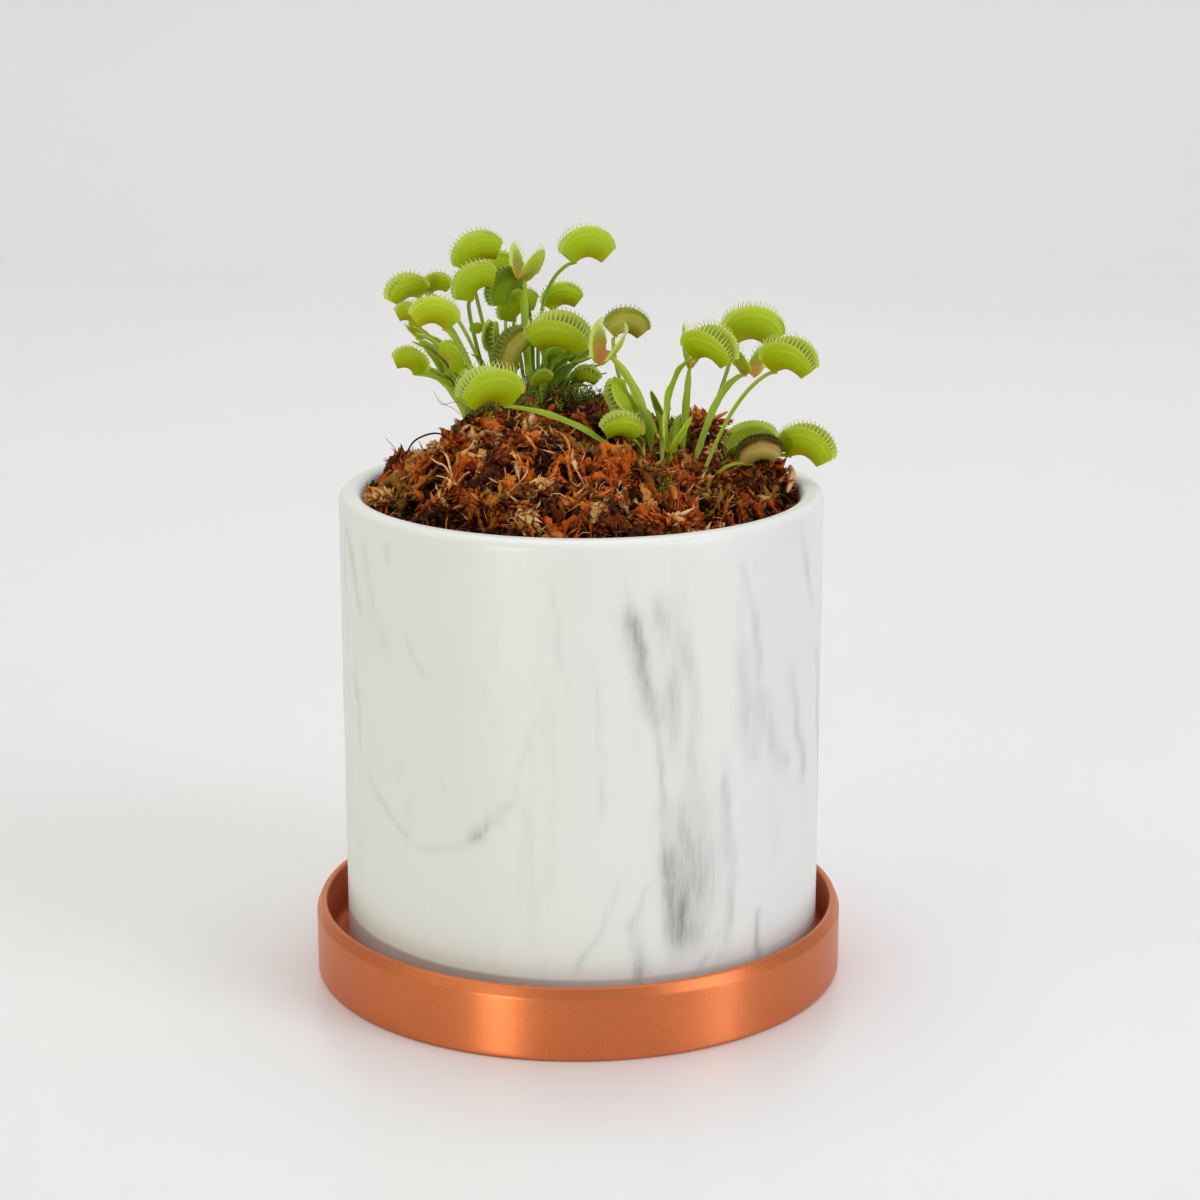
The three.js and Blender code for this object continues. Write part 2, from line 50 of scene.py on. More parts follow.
# %% [markdown]
# ## The camera
# A product photograph is taken with a long lens from a little above, so upright sides stay nearly
# parallel. A camera can be aimed by eye in the viewport. Here the lens and the tilt were worked out from the
# ellipses of the rim and the saucer, and they are plain numbers, so that the view is the same in each run.

# %% Camera
CAMERA_DOWN, CAMERA_TURN = 14.536, -0.401


def placed(name, data):
    """An object that holds some data, put into the scene."""
    made = bpy.data.objects.new(name, data)
    bpy.context.scene.collection.objects.link(made)
    return made


camera = placed("studio_camera", bpy.data.cameras.new("studio_camera"))
camera.location = (0.001, -0.655, 0.265)
camera.rotation_euler = (math.radians(90 - CAMERA_DOWN), 0, math.radians(CAMERA_TURN))
camera.data.lens = 81
camera.data.sensor_width = 36
bpy.context.scene.camera = camera
print("camera:", camera.data.lens, "mm lens, looking down by", CAMERA_DOWN, "degrees")

# %% [markdown]
# ## Shader maths as plain expressions
# A material is a graph of nodes, and long chains of Math nodes are hard to read, whether they are drawn in
# the editor or written out one by one. The small class below wraps a socket, so that `1 - mask * 0.5`
# builds those nodes. `Finish` holds one material and adds any other node: first its settings, then the
# values or wires of its sockets.

# %% Wires


class Wire:
    """One output socket of a finish. Sums with it add Math nodes."""

    def __init__(self, finish, socket):
        self.finish = finish
        self.socket = socket

    def maths(self, operation, *operands):
        return self.finish.node("ShaderNodeMath", {"operation": operation}, dict(enumerate(operands)))

    def __add__(self, other):
        return self.maths("ADD", self, other)

    def __radd__(self, other):
        return self.maths("ADD", other, self)

    def __sub__(self, other):
        return self.maths("SUBTRACT", self, other)

    def __rsub__(self, other):
        return self.maths("SUBTRACT", other, self)

    def __mul__(self, other):
        return self.maths("MULTIPLY", self, other)

    def __rmul__(self, other):
        return self.maths("MULTIPLY", other, self)

    def __gt__(self, other):
        return self.maths("GREATER_THAN", self, other)

    def clamped(self):
        return self.finish.node("ShaderNodeClamp", {}, {"Value": self})


print("a Wire can be used with +, -, * and >")

# %% Colours


def tint(red, green, blue):
    """A screen colour from 0 to 255 as the linear colour that Blender's sockets take."""
    def linear(value):
        share = value / 255
        return share / 12.92 if share <= 0.04045 else ((share + 0.055) / 1.055) ** 2.4
    return (linear(red), linear(green), linear(blue), 1)


print("mid grey in linear light:", round(tint(128, 128, 128)[0], 3))

# %% Finishes


class Finish:
    """One procedural material, built node by node around its Principled shader."""

    def __init__(self, name):
        self.material = bpy.data.materials.new(name)
        self.material.use_nodes = True
        self.tree = self.material.node_tree
        self.shader = self.tree.nodes["Principled BSDF"]

    def node(self, kind, settings, sockets, output=0):
        made = self.tree.nodes.new(kind)
        for setting, value in settings.items():
            if setting == "stops":
                self.set_stops(made.color_ramp, value)
            else:
                setattr(made, setting, value)
        for socket, value in sockets.items():
            self.feed(made.inputs[socket], value)
        return Wire(self, made.outputs[output])

    def feed(self, socket, value):
        if isinstance(value, Wire):
            self.tree.links.new(value.socket, socket)
        else:
            socket.default_value = value

    def set_stops(self, ramp, stops):
        while len(ramp.elements) < len(stops):
            ramp.elements.new(0.5)
        for element, (position, colour) in zip(ramp.elements, stops):
            element.position = position
            element.color = colour

    def share(self, name):
        """A number that the mesh keeps at each of its points."""
        return self.node("ShaderNodeAttribute", {"attribute_name": name}, {}, "Fac")

    def place(self, stretch=(1, 1, 1)):
        """The point of the object in metres, times a stretch."""
        here = self.node("ShaderNodeTexCoord", {}, {}, "Object")
        return self.node("ShaderNodeVectorMath", {"operation": "MULTIPLY"}, {0: here, 1: stretch})

    def grain(self, size_mm, detail=3, stretch=(1, 1, 1), rough=0.5):
        """Noise from 0 to 1 whose features are about size_mm across, stretched along an axis where asked."""
        sockets = {"Vector": self.place(stretch), "Scale": 1 / (size_mm * MM), "Detail": detail}
        return self.node("ShaderNodeTexNoise", {}, sockets | {"Roughness": rough})

    def ramp(self, factor, *stops):
        """Colours along a factor. Each stop is a position, then red, green and blue from 0 to 255."""
        stops = [(position, tint(*colour)) for position, *colour in stops]
        return self.node("ShaderNodeValToRGB", {"stops": stops}, {"Fac": factor})

    def blend(self, factor, first, second):
        """Mixes two colours: on the Mix node those are sockets 6 and 7, and output 2."""
        settings = {"data_type": "RGBA", "clamp_factor": True}
        return self.node("ShaderNodeMix", settings, {0: factor, 6: first, 7: second}, 2)

    def relief(self, height, depth_mm, strength=1):
        sockets = {"Height": height, "Distance": depth_mm * MM, "Strength": strength}
        return self.node("ShaderNodeBump", {}, sockets)

    def shade(self, **sockets):
        """Feeds the Principled shader; a socket's name is written with _ for each space."""
        for name, value in sockets.items():
            self.feed(self.shader.inputs[name.replace("_", " ")], value)


print("a Finish feeds the shader of its own material")

# %% [markdown]
# ## From points to pieces
# Most pieces here are lattices: rings of a lathe, stations of a stem, rows of a leaf blade. They could be
# modelled by hand, but arrays of points are exact, and each point can carry numbers, such as how veined it
# is, for the finish to read. `lattice` joins rows of points into faces. `piece` turns points in millimetres
# into a mesh object that rides on the part, keeps its finish, and stands for the CAD nodes it replaces.

# %% Lattices


def lattice(rows, columns, around=False, over=False, start=0):
    """Four-cornered faces between rows of points; around joins the columns, over joins the rows."""
    row, column = np.meshgrid(np.arange(rows if over else rows - 1),
                              np.arange(columns if around else columns - 1), indexing="ij")
    next_row = (row + 1) % rows
    next_column = (column + 1) % columns
    corners = [row * columns + column, row * columns + next_column,
               next_row * columns + next_column, next_row * columns + column]
    return start + np.stack(corners, -1).reshape(-1, 4)


print("faces of a lattice of 4 by 3 points:", len(lattice(4, 3)))

# %% Pieces
WELD_DISTANCE = 0.01


def tidy_seams(mesh):
    """Joins points that lie together, such as those of a lathe on its axis."""
    work = bmesh.new()
    work.from_mesh(mesh)
    bmesh.ops.remove_doubles(work, verts=work.verts, dist=WELD_DISTANCE * MM)
    bmesh.ops.recalc_face_normals(work, faces=work.faces)
    work.to_mesh(mesh)
    work.free()


def piece(name, points, faces, finish, slot, nodes=(), weld=False, crease=None, **shares):
    """One mesh of the part, from points in mm. Each share is a number that the mesh keeps at every point."""
    mesh = bpy.data.meshes.new(name)
    mesh.from_pydata(np.asarray(points) * MM, [], [face.tolist() for block in faces for face in block])
    for share, values in shares.items():
        values = np.broadcast_to(values, len(points)).astype(np.float32)
        mesh.attributes.new(share, "FLOAT", "POINT").data.foreach_set("value", values)
    if weld:
        tidy_seams(mesh)
    mesh.shade_smooth()
    if crease:
        mesh.set_sharp_from_angle(angle=math.radians(crease))
    mesh.materials.append(finish.material)
    made = placed(name, mesh)
    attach(made, "root")
    if nodes:
        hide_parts(*nodes)
    return made


print("welded pieces join points closer than", WELD_DISTANCE, "mm")

# %% Directions and smooth noise


def unit(vectors):
    return vectors / np.linalg.norm(vectors, axis=-1, keepdims=True)


def rumple(x, y, size, z=0.0):
    """Smooth noise from -1 to 1, with features about size mm across."""
    places = np.stack(np.broadcast_arrays(x, y, z), -1)
    flat = [noise.noise(Vector(place) / size + Vector((0, 0, 0.5))) for place in places.reshape(-1, 3)]
    return np.reshape(flat, places.shape[:-1])


print("noise at two places 3 mm apart:", rumple(np.array([0.0, 3.0]), 0.0, 9).round(2))

# %% [markdown]
# ## The table and the wall
# The real table is pale and faintly glossy, and so is the wall behind it. Two planes would meet in a hard
# line. One sheet that runs back and curves up, as a photographer's paper does, shows no line, and its low
# roughness keeps the soft reflection under the saucer.

# %% The sweep
FLOOR_SIDE, FLOOR_FRONT, FLOOR_BACK, BEND, WALL_TOP = 4000, -4000, 1300, 700, 3500

bend_steps = np.radians(np.linspace(-90, 0, 25))
floor_line = [(FLOOR_FRONT, 0)]
floor_line += [(FLOOR_BACK + BEND * math.cos(a), BEND + BEND * math.sin(a)) for a in bend_steps]
floor_line += [(FLOOR_BACK + BEND, WALL_TOP)]
floor_points = [(x, y, z) for y, z in floor_line for x in (-FLOOR_SIDE, FLOOR_SIDE)]

paper = Finish("pale_table")
paper_tone = paper.blend(paper.grain(180, 2), tint(234, 233, 230), tint(238, 237, 237))
paper.shade(Base_Color=paper_tone, Roughness=0.22, Specular_IOR_Level=0.35)

floor_mesh = bpy.data.meshes.new("table_sweep")
floor_mesh.from_pydata([Vector(p) * MM for p in floor_points], [], lattice(len(floor_line), 2).tolist())
floor_mesh.shade_smooth()
floor_mesh.materials.append(paper.material)
floor = placed("table_sweep", floor_mesh)
print("sweep:", 2 * FLOOR_SIDE, "mm wide, with", len(floor_mesh.polygons), "faces")

# %% [markdown]
# ## Light
# Daylight comes from windows to both sides, warmer on the left. A sky picture could give it, but a few area
# lamps are easier to balance. Two small ones close to the table draw the two upright gleams on the copper,
# because an upright wall mirrors what lies low in front of it.

# %% Lamps
# Name, place and aim in metres, width and height, watts, colour
LAMPS = [
    ("window_left", (-1.5, -0.5, 1.5), (0, 0, 0.1), (1.4, 1.2), 4.2, (1, 0.99, 0.72)),
    ("window_right", (1.5, -0.9, 1.1), (0, 0, 0.1), (0.9, 1.3), 13.5, (0.9, 0.9, 1)),
    ("low_left", (-0.88, -1.41, 0.12), (0, 0, 0.02), (0.3, 0.2), 6.4, (1, 0.99, 0.84)),
    ("low_right", (1.46, -0.79, 0.12), (0, 0, 0.02), (0.3, 0.2), 2.4, (0.9, 0.91, 1)),
    ("wall_wash", (0, 0.7, 1.9), (0, 2.0, 0.9), (3.0, 0.6), 7, (0.97, 0.98, 1)),
    ("over", (0, 0.3, 1.9), (0, 0, 0), (1.8, 1.4), 13.5, (1, 1, 1)),
]
for name, place, aim, size, power, colour in LAMPS:
    data = bpy.data.lights.new(name, "AREA")
    data.shape = "RECTANGLE"
    data.size, data.size_y = size
    data.energy = power
    data.color = colour
    lamp = placed(name, data)
    lamp.location = place
    lamp.rotation_euler = (Vector(aim) - Vector(place)).to_track_quat("-Z", "Y").to_euler()
print("lamps:", len(LAMPS), "with", sum(row[4] for row in LAMPS), "watts")

# %% The pale room that fills the shadows
world = bpy.data.worlds.new("pale_room")
world.use_nodes = True
room = world.node_tree.nodes["Background"].inputs
room["Color"].default_value = (0.92, 0.93, 0.95, 1)
room["Strength"].default_value = 0.46
bpy.context.scene.world = world
bpy.context.scene.view_settings.view_transform = "Standard"
print("room light:", round(room["Strength"].default_value, 2))

# %% [markdown]
# ## The saucer
# The saucer is a shallow dish with a bevelled lip. It could be a cylinder with bevel modifiers. A lathe is
# the natural way: a profile spun round the axis, with small arcs where clay is always a little rounded, so
# that the bevel catches a bright line.

# %% Lathe


def arc(centre, radius, start, end, steps=8):
    """Points on a circle in the profile plane, from one angle in degrees to another."""
    angles = np.radians(np.linspace(start, end, steps + 1))
    return [(centre[0] + radius * math.cos(a), centre[1] + radius * math.sin(a)) for a in angles]


def lathe(profile, columns, x=0, z=0):
    """A profile of (radius, height) spun round the axis: its points, and the angle of each from the front."""
    radius, height = np.array(profile).T
    turn = np.linspace(-math.pi, math.pi, columns, endpoint=False)
    spun = [x + np.outer(radius, np.sin(turn)), -np.outer(radius, np.cos(turn))]
    spun.append(np.repeat(height[:, None] + z, columns, axis=1))
    points = np.stack(spun, -1).reshape(-1, 3)
    return points, np.tile(turn, len(profile))


print("points on a quarter round:", len(arc((0, 0), 1, 0, 90)))

# %% The shape of the saucer
SAUCER_RADIUS, SAUCER_INSIDE, SAUCER_FLOOR, SAUCER_COLUMNS = 67, 64.4, 5, 288
saucer_profile = [(0, 1), (54.6, 1), (55.6, 0.1), (56.4, 0), (65.6, 0)]
saucer_profile += arc((65.9, 1.1), 1.1, -80, 0, 5)
saucer_profile += [(SAUCER_RADIUS, z) for z in np.linspace(2, 14.8, 14)]
saucer_profile += arc((66, 15.5), 1, 5, 40, 4)
saucer_profile += arc((65.3, 17.3), 0.9, 35, 90, 5)
saucer_profile += arc((65.1, 17.5), 0.7, 95, 180, 5)
saucer_profile += arc((SAUCER_INSIDE - 3, SAUCER_FLOOR + 3), 3, 0, -90, 8)
saucer_profile += [(58, 5), (40, 5), (20, 5), (0, 5)]
saucer_points, saucer_angle = lathe(saucer_profile, SAUCER_COLUMNS)
print("saucer points:", len(saucer_points))

# %% Chips in its lower edge, each in degrees from the front, height and size in mm
CHIPS = [(-47, 2.0, 0.7), (55, 3.4, 0.8), (-46, 3.4, 0.4), (24, 0.8, 0.6), (133, 2.2, 0.7), (-118, 1.5, 0.8)]


def nearness(angle, height, spot, radius):
    """1 at a spot given in degrees and millimetres on a round wall, falling to 0 away from it."""
    spot_angle, spot_height, size = spot
    away = ((angle - math.radians(spot_angle)) * radius) ** 2 + (height - spot_height) ** 2
    return np.exp(-away / size ** 2)


chips = sum(nearness(saucer_angle, saucer_points[:, 2], chip, SAUCER_RADIUS) for chip in CHIPS)
print("chipped points:", int((chips > 0.5).sum()))

# %% [markdown]
# ### Copper
# The dish is sprayed with satin copper paint, which is fine metal flake in a clear coat. A plain metal
# shader looks like polished sheet. Here the flake is a fine noise that lightens the colour and roughens the
# gloss. The anisotropic setting stretches each highlight upwards, as the turned clay under the paint does.

# %% The copper finish
copper = Finish("satin_copper")
flake = copper.grain(0.35, 2, rough=0.6)
mottle = copper.grain(9, 3)
copper_tone = copper.blend(mottle, tint(202, 94, 34), tint(216, 108, 44))
copper_tone = copper.blend(flake * 0.5, copper_tone, tint(238, 164, 120))
chip_mask = ((copper.share("chip") + copper.grain(0.9, 3) * 0.5) > 0.95) * 1
copper.shade(
    Base_Color=copper.blend(chip_mask, copper_tone, tint(214, 190, 170)),
    Metallic=(1 - chip_mask) * 0.75,
    Roughness=0.37 + flake * 0.08,
    Anisotropic=0.75,
    Anisotropic_Rotation=0.25,
    Normal=copper.relief(flake + copper.grain(2.5, 2) * 0.6, 0.05, 0.35),
)
piece("copper_saucer", saucer_points, [lattice(len(saucer_profile), SAUCER_COLUMNS, around=True)], copper,
      "saucer", ["saucer"], weld=True, chip=np.clip(chips, 0, 1))
print("copper nodes:", len(copper.tree.nodes))

# %% [markdown]
# ## The pot
# The pot is a thick-walled cylinder with a rounded lip and foot and a drain hole. It is another lathe, with
# many rings and columns in the wall, because the marble print is kept at its points.

# %% The shape of the pot
POT_RADIUS, POT_INSIDE, POT_X, POT_FOOT_Z, DRAIN, POT_COLUMNS = 60, 54.2, 1, 5.3, 7, 420
pot_profile = [(DRAIN, 1.2), (46.4, 1.2), (47.2, 0.9), (47.8, 0.1), (48.4, 0), (53, 0), (57.8, 0)]
pot_profile += arc((57.8, 2.2), 2.2, -80, 0, 6)
pot_profile += [(POT_RADIUS, z) for z in np.linspace(3.2, 115.8, 140)]
pot_profile += arc((57.6, 116.6), 2.4, 0, 90, 9)
pot_profile += arc((56.6, 116.6), 2.4, 90, 180, 9)
pot_profile += [(POT_INSIDE, z) for z in (112, 108, 100, 80, 50, 25, 12)]
pot_profile += arc((50.2, 10), 4, 0, -90, 6)
pot_profile += [(30, 6), (DRAIN, 6)]
pot_points, pot_angle = lathe(pot_profile, POT_COLUMNS, POT_X, POT_FOOT_Z)
print("pot points:", len(pot_points))

# %% [markdown]
# ### Marble veins
# The real print has soft grey veins that drift down the wall and gather into darker patches. Noise alone
# gives clouds in no order. So each vein is a line of listed points, given as an angle round the pot and a
# height, and every point of the mesh keeps how close it is to one.

# %% Veins on the front, each with a half width in mm, a strength, and points of (degrees, height)
VEINS = [
    (1.0, 0.5, [(8.8, 121), (10.1, 110.5), (12.9, 98.5), (14.7, 86.4), (16.4, 76.5), (18.1, 64.2),
                (18.6, 54.3), (20.2, 41.6), (19.8, 29.1), (22.7, 23)]),
    (2.0, 0.95, [(9.3, 110), (10.6, 104), (12.4, 96), (14.6, 86), (16, 78)]),
    (1.3, 0.3, [(16.2, 114), (17.9, 105.2), (19.3, 95.5), (20.3, 85.8), (20.4, 72)]),
    (1.5, 0.3, [(22.1, 104), (24.7, 90.1), (26.1, 75.4), (27.5, 60.4)]),
    (3.4, 0.62, [(19.5, 64), (20.6, 54), (21.4, 42), (21.2, 30), (21.8, 19)]),
    (3.8, 0.66, [(25.5, 68), (27, 56), (28, 44), (27.4, 33), (24.5, 20)]),
    (1.4, 0.35, [(22.5, 62), (23.5, 50), (24, 38), (23.4, 24)]),
    (4.5, 0.24, [(18.5, 114), (20.5, 98), (22.5, 80), (24, 62)]),
    (1.1, 0.5, [(37.2, 118), (40.9, 106.9), (43.6, 96.6), (45.3, 81.6)]),
    (2.5, 0.75, [(45, 86), (46.2, 78), (48.4, 72), (52.4, 64.5), (56.5, 61)]),
    (2.1, 0.55, [(38.5, 100), (39.6, 92.6), (41.5, 75), (44.3, 62)]),
    (1.8, 0.65, [(56, 90), (58.9, 80.7), (60.3, 70.2), (64.6, 61), (63, 53)]),
    (1.5, 0.4, [(59.7, 123), (63.7, 111.9), (70.2, 98)]),
    (1.5, 0.42, [(33.2, 73), (34.8, 59), (35.9, 43.8), (37, 33.4), (35.6, 21)]),
    (1.6, 0.4, [(35.6, 40), (36.6, 32), (34, 22), (31, 14)]),
    (0.6, 0.22, [(-7.1, 115.3), (-4.7, 106), (-3.7, 96.5), (-2.6, 87)]),
    (0.8, 0.3, [(0.3, 101.3), (2.2, 91.8), (4, 79.7), (4.6, 65.1), (4, 55.4)]),
    (0.8, 0.45, [(8.9, 44), (6.7, 37.9), (4, 30.5), (1.7, 25.5), (-2.8, 16)]),
    (1.3, 0.85, [(10.6, 34), (11.4, 30), (12.9, 24), (14.3, 16)]),
    (0.7, 0.35, [(15.4, 42.2), (13.1, 36.2), (11.3, 31.3)]),
    (1.2, 0.85, [(46.2, 30), (45.3, 22), (45, 15)]),
    (0.7, 0.3, [(27, 16), (30, 22), (33, 28)]),
    (0.9, 0.3, [(-66.5, 100), (-65.9, 90), (-65.1, 76.7), (-63.3, 64.5), (-59.1, 58.1), (-52.4, 53.7),
                (-46.8, 48.9), (-40.8, 46.1), (-34.2, 46.8), (-27.4, 49.4), (-23.6, 52.5), (-18.6, 58.1),
                (-15.8, 63.3), (-13.9, 68.3), (-12, 78.2), (-10.4, 83.1), (-4.8, 83.6)]),
    (1.7, 0.4, [(-27, 49.6), (-23.6, 52.3), (-19.6, 57), (-16.4, 62.5)]),
    (1.5, 0.7, [(-72.3, 120), (-67, 111.3), (-63.6, 102.2), (-62.2, 97)]),
    (0.9, 0.7, [(-67.8, 84), (-66.6, 80), (-65.8, 76)]),
    (1.8, 0.25, [(-60.4, 120.1), (-57.8, 109.7), (-52.9, 97.3), (-50.8, 90.4)]),
    (0.6, 0.22, [(-44.1, 98.7), (-40.7, 92.5), (-35.7, 88.6)]),
    (0.8, 0.4, [(-50.2, 119.7), (-48.8, 113)]),
]
print("front veins:", len(VEINS))

# %% Veins round the back, which drift down the pot as the front ones do
BACK_VEINS = 22
FIRST_BACK_ANGLE, LAST_BACK_ANGLE = 78, 284
drift = np.random.default_rng(11)
for start in np.linspace(FIRST_BACK_ANGLE, LAST_BACK_ANGLE, BACK_VEINS):
    angle = start + drift.uniform(-4, 4)
    height = drift.uniform(60, 122)
    lean = drift.uniform(-1.5, 4)
    route = []
    for step in range(drift.integers(4, 8)):
        route.append((angle, height))
        angle += lean + drift.uniform(-1.5, 1.5)
        height -= drift.uniform(8, 13)
    VEINS.append((drift.uniform(0.7, 2.6), drift.uniform(0.25, 0.8), route))
print("all veins:", len(VEINS))

# %% How near a place is to a vein


def along_route(route, angle, height, width):
    """1 on a route round the pot, falling off over its width, and fading out towards its two ends."""
    places = np.array([(math.radians(a) * POT_RADIUS, z) for a, z in route])
    lengths = np.linalg.norm(np.diff(places, axis=0), axis=1)
    run = np.concatenate([[0], np.cumsum(lengths)]) / lengths.sum()
    best = np.zeros(len(angle))
    for lap in (0, 2 * math.pi):
        here = np.stack([(angle + lap) * POT_RADIUS, height], -1)
        for i, length in enumerate(lengths):
            along = (here - places[i]) @ (places[i + 1] - places[i]) / length ** 2
            along = np.clip(along, 0, 1)
            away = np.linalg.norm(here - places[i] - along[:, None] * (places[i + 1] - places[i]), axis=1)
            share = run[i] + along * (run[i + 1] - run[i])
            fade = np.clip(6 * share, 0, 1) * np.clip(6 * (1 - share), 0, 1)
            best = np.maximum(best, np.exp(-(away / width) ** 2) * fade)
    return best


beside = along_route([(0, 0), (0, 100)], np.array([2 / POT_RADIUS]), np.array([50]), 2)
print("2 mm beside a vein of half width 2 mm:", beside.round(2))

# %% How strongly each point of the pot is veined
VEIN_SPREAD = 1.15
outer_wall = np.hypot(pot_points[:, 0] - POT_X, pot_points[:, 1]) > POT_INSIDE + 2
wall_angle = pot_angle[outer_wall]
wall_height = pot_points[outer_wall, 2]
wander = 1.5 * rumple(wall_angle * POT_RADIUS, wall_height * 0.4, 6)
wander += 0.9 * rumple(wall_angle * POT_RADIUS, wall_height * 0.5, 2.2)
patchy = np.clip(0.75 + 0.9 * rumple(wall_angle * POT_RADIUS + 90, wall_height * 0.35, 5), 0.35, 1.2)
vein = np.zeros(len(pot_points))
for width, strength, route in VEINS:
    touched = along_route(route, wall_angle + wander / POT_RADIUS, wall_height, VEIN_SPREAD * width)
    vein[outer_wall] += strength * touched * patchy
print("veined share of the pot:", round(float((vein > 0.2).mean()), 3))

# %% [markdown]
# ### Glaze
# The print lies under a satin glaze, and close up its veins break into fine upright streaks. Drawing those
# as geometry would need a far denser mesh. The shader multiplies the soft bands by a noise that is
# stretched along the height, adds faint wisps between them, and gives the white a slight grain.

# %% The marble glaze
glaze = Finish("marble_glaze")
bands = glaze.share("vein")
streaks = glaze.grain(1.3, 5, (1, 1, 0.14), 0.7)
wisps = glaze.grain(7, 5, (1, 1, 0.2), 0.65)
print_grain = glaze.grain(0.3, 2)
broken = (streaks * 2 - 0.5).clamped()
grey = bands * (0.36 + broken * 0.75) + (wisps - 0.55).clamped() * 0.6
white = glaze.blend(glaze.grain(60, 2), tint(227, 229, 221), tint(232, 233, 230))
white = glaze.blend(print_grain * 0.12, white, tint(204, 206, 192))
glaze.shade(
    Base_Color=glaze.blend((grey * 0.8).clamped(), white, tint(140, 141, 139)),
    Roughness=0.3 + streaks * 0.08,
    Normal=glaze.relief(glaze.grain(1.6, 3), 0.02, 0.25),
)
piece("marble_pot", pot_points, [lattice(len(pot_profile), POT_COLUMNS, around=True, over=True)], glaze,
      "pot", ["pot"], weld=True, vein=vein)
print("glaze nodes:", len(glaze.tree.nodes))

# %% [markdown]
# ## The moss mound
# Long-fibre sphagnum is a tangle of dead moss stems. A displaced mound with a fibre texture looks painted,
# and combed hair looks too smooth. So a dark mound follows the CAD solid, with lumps and listed
# hollows, and five kinds of small mesh lie on it: torn shreds, lumpy ropes, scaly branches, loose flakes and
# pale fibres. Each of them follows the mound and stays inside the wall of the pot.

# %% The surface that everything grows from
SOIL_RADIUS = 53.8
SETTLED = 1.6
MOUND_BASE, MOUND_RISE, MOUND_X, MOUND_Y = 116, 26, -12, 16
REACH_LEFT, REACH_RIGHT, REACH_FRONT, REACH_BACK = 46, 70, 72, 42
LUMP_HEIGHT, LUMP_ALONG_X, LUMP_ALONG_Y = 0.8, 0.67, 0.55
# Swells: x, y, size across, size in depth, rise
SWELLS = [(20, 1, 14, 12, -5.5), (-36, 22, 6, 16, -6.5), (50, 9, 7, 13, 3.6), (33.5, 23.5, 3.8, 5, 6)]
# Hollows and humps: x, y, size, depth or height
HOLLOWS = [(-37, -18.5, 7.5, 8.5), (-16.5, -34, 5, 5), (9.5, -1.5, 6, 5.5), (12, -31.5, 4, 5),
           (3, -28, 4, 4), (30, -26.5, 5, 4.5), (19.5, -30, 3.5, 4), (-6, -42, 3.5, 4), (39, -5, 4, 4),
           (-29, -30, 3.5, 4), (-22, -8, 3.5, 3), (2, -13, 3, 3), (-43, 0, 3.5, 3), (-30, 33, 6, 4),
           (14, 36, 6, 4), (-8, 44, 5, 3), (38, 34, 5, 4), (44, -6, 3, 4)]
HUMPS = [(24, 4, 8, 2.2), (-20, 26, 6, 1.5), (-10, 22, 7, 1.5), (-20.5, -36.5, 4.5, 3), (-4, -24, 6, 2.5),
         (15, -20, 6, 3.5), (36, -16, 6, 3), (-42, 2, 5, 1.5), (40, 20, 5, 2), (0, -10, 5, 1.5),
         (-30, -20, 4, 2), (47, 12, 5, 2)]


def moss_height(x, y):
    """The height of the moss solid at a point, from the same numbers as the CAD source."""
    right, back = x - MOUND_X, y - MOUND_Y
    far = (right / np.where(right < 0, REACH_LEFT, REACH_RIGHT)) ** 2
    far = far + (back / np.where(back < 0, REACH_FRONT, REACH_BACK)) ** 2
    lump = LUMP_HEIGHT * np.sin(LUMP_ALONG_X * x + 1) * np.cos(LUMP_ALONG_Y * y - 2)
    height = MOUND_BASE + MOUND_RISE * np.maximum(1 - far, 0) + lump
    for swell_x, swell_y, across, deep, rise in SWELLS:
        away = ((x - swell_x) / across) ** 2 + ((y - swell_y) / deep) ** 2
        height = height + rise * np.exp(-away / 2)
    return height


def bumps(x, y, spots):
    """The summed height of round spots at a point."""
    return sum(height * np.exp(-((x - a) ** 2 + (y - b) ** 2) / size ** 2) for a, b, size, height in spots)


def moss_top(x, y):
    """The surface that strands lie on: a little under the solid's, with lumps, hollows and humps."""
    lumps = 3 * rumple(x, y, 9) + 1.8 * rumple(x, y, 4)
    return moss_height(x, y) - SETTLED + lumps - bumps(x, y, HOLLOWS) + bumps(x, y, HUMPS)


def moss_height_at(x, y):
    """The height of the moss solid at one place, as a plain number."""
    return float(moss_height(np.array(x), np.array(y)))


print("moss height by the left crown:", round(moss_height_at(-20, 26), 1), "mm")

# %% [markdown]
# ### The ground between the strands
# Gaps in the tangle show dark wet moss in shade, not the pot, so the ground's colour is wet moss with
# painted shade. A flat disc under the strands would leave holes where the mound dips. A disc of rings that
# follows the mound closes them all, and runs down inside the wall.

# %% The dark ground
GROUND_RINGS, GROUND_COLUMNS = 46, 150
GROUND_DOWN, GROUND_BOTTOM = 1.6, 12
LOWER_RINGS = [(SOIL_RADIUS, 60), (SOIL_RADIUS, 16), (49, GROUND_BOTTOM), (0, GROUND_BOTTOM)]
turn, reach = np.meshgrid(np.linspace(0, 2 * math.pi, GROUND_COLUMNS, endpoint=False),
                          np.linspace(0, SOIL_RADIUS, GROUND_RINGS))
ground_x = POT_X + reach * np.cos(turn)
ground_y = reach * np.sin(turn)
ground_z = moss_top(ground_x, ground_y) - GROUND_DOWN
ground_rings = [np.stack([ground_x, ground_y, ground_z], -1)]
for ring_radius, ring_z in LOWER_RINGS:
    shrink = ring_radius / SOIL_RADIUS
    ring = np.stack([POT_X + (ground_x[-1] - POT_X) * shrink, ground_y[-1] * shrink,
                     np.full(GROUND_COLUMNS, ring_z)], -1)
    ground_rings.append(ring[None])
ground_points = np.concatenate(ground_rings).reshape(-1, 3)

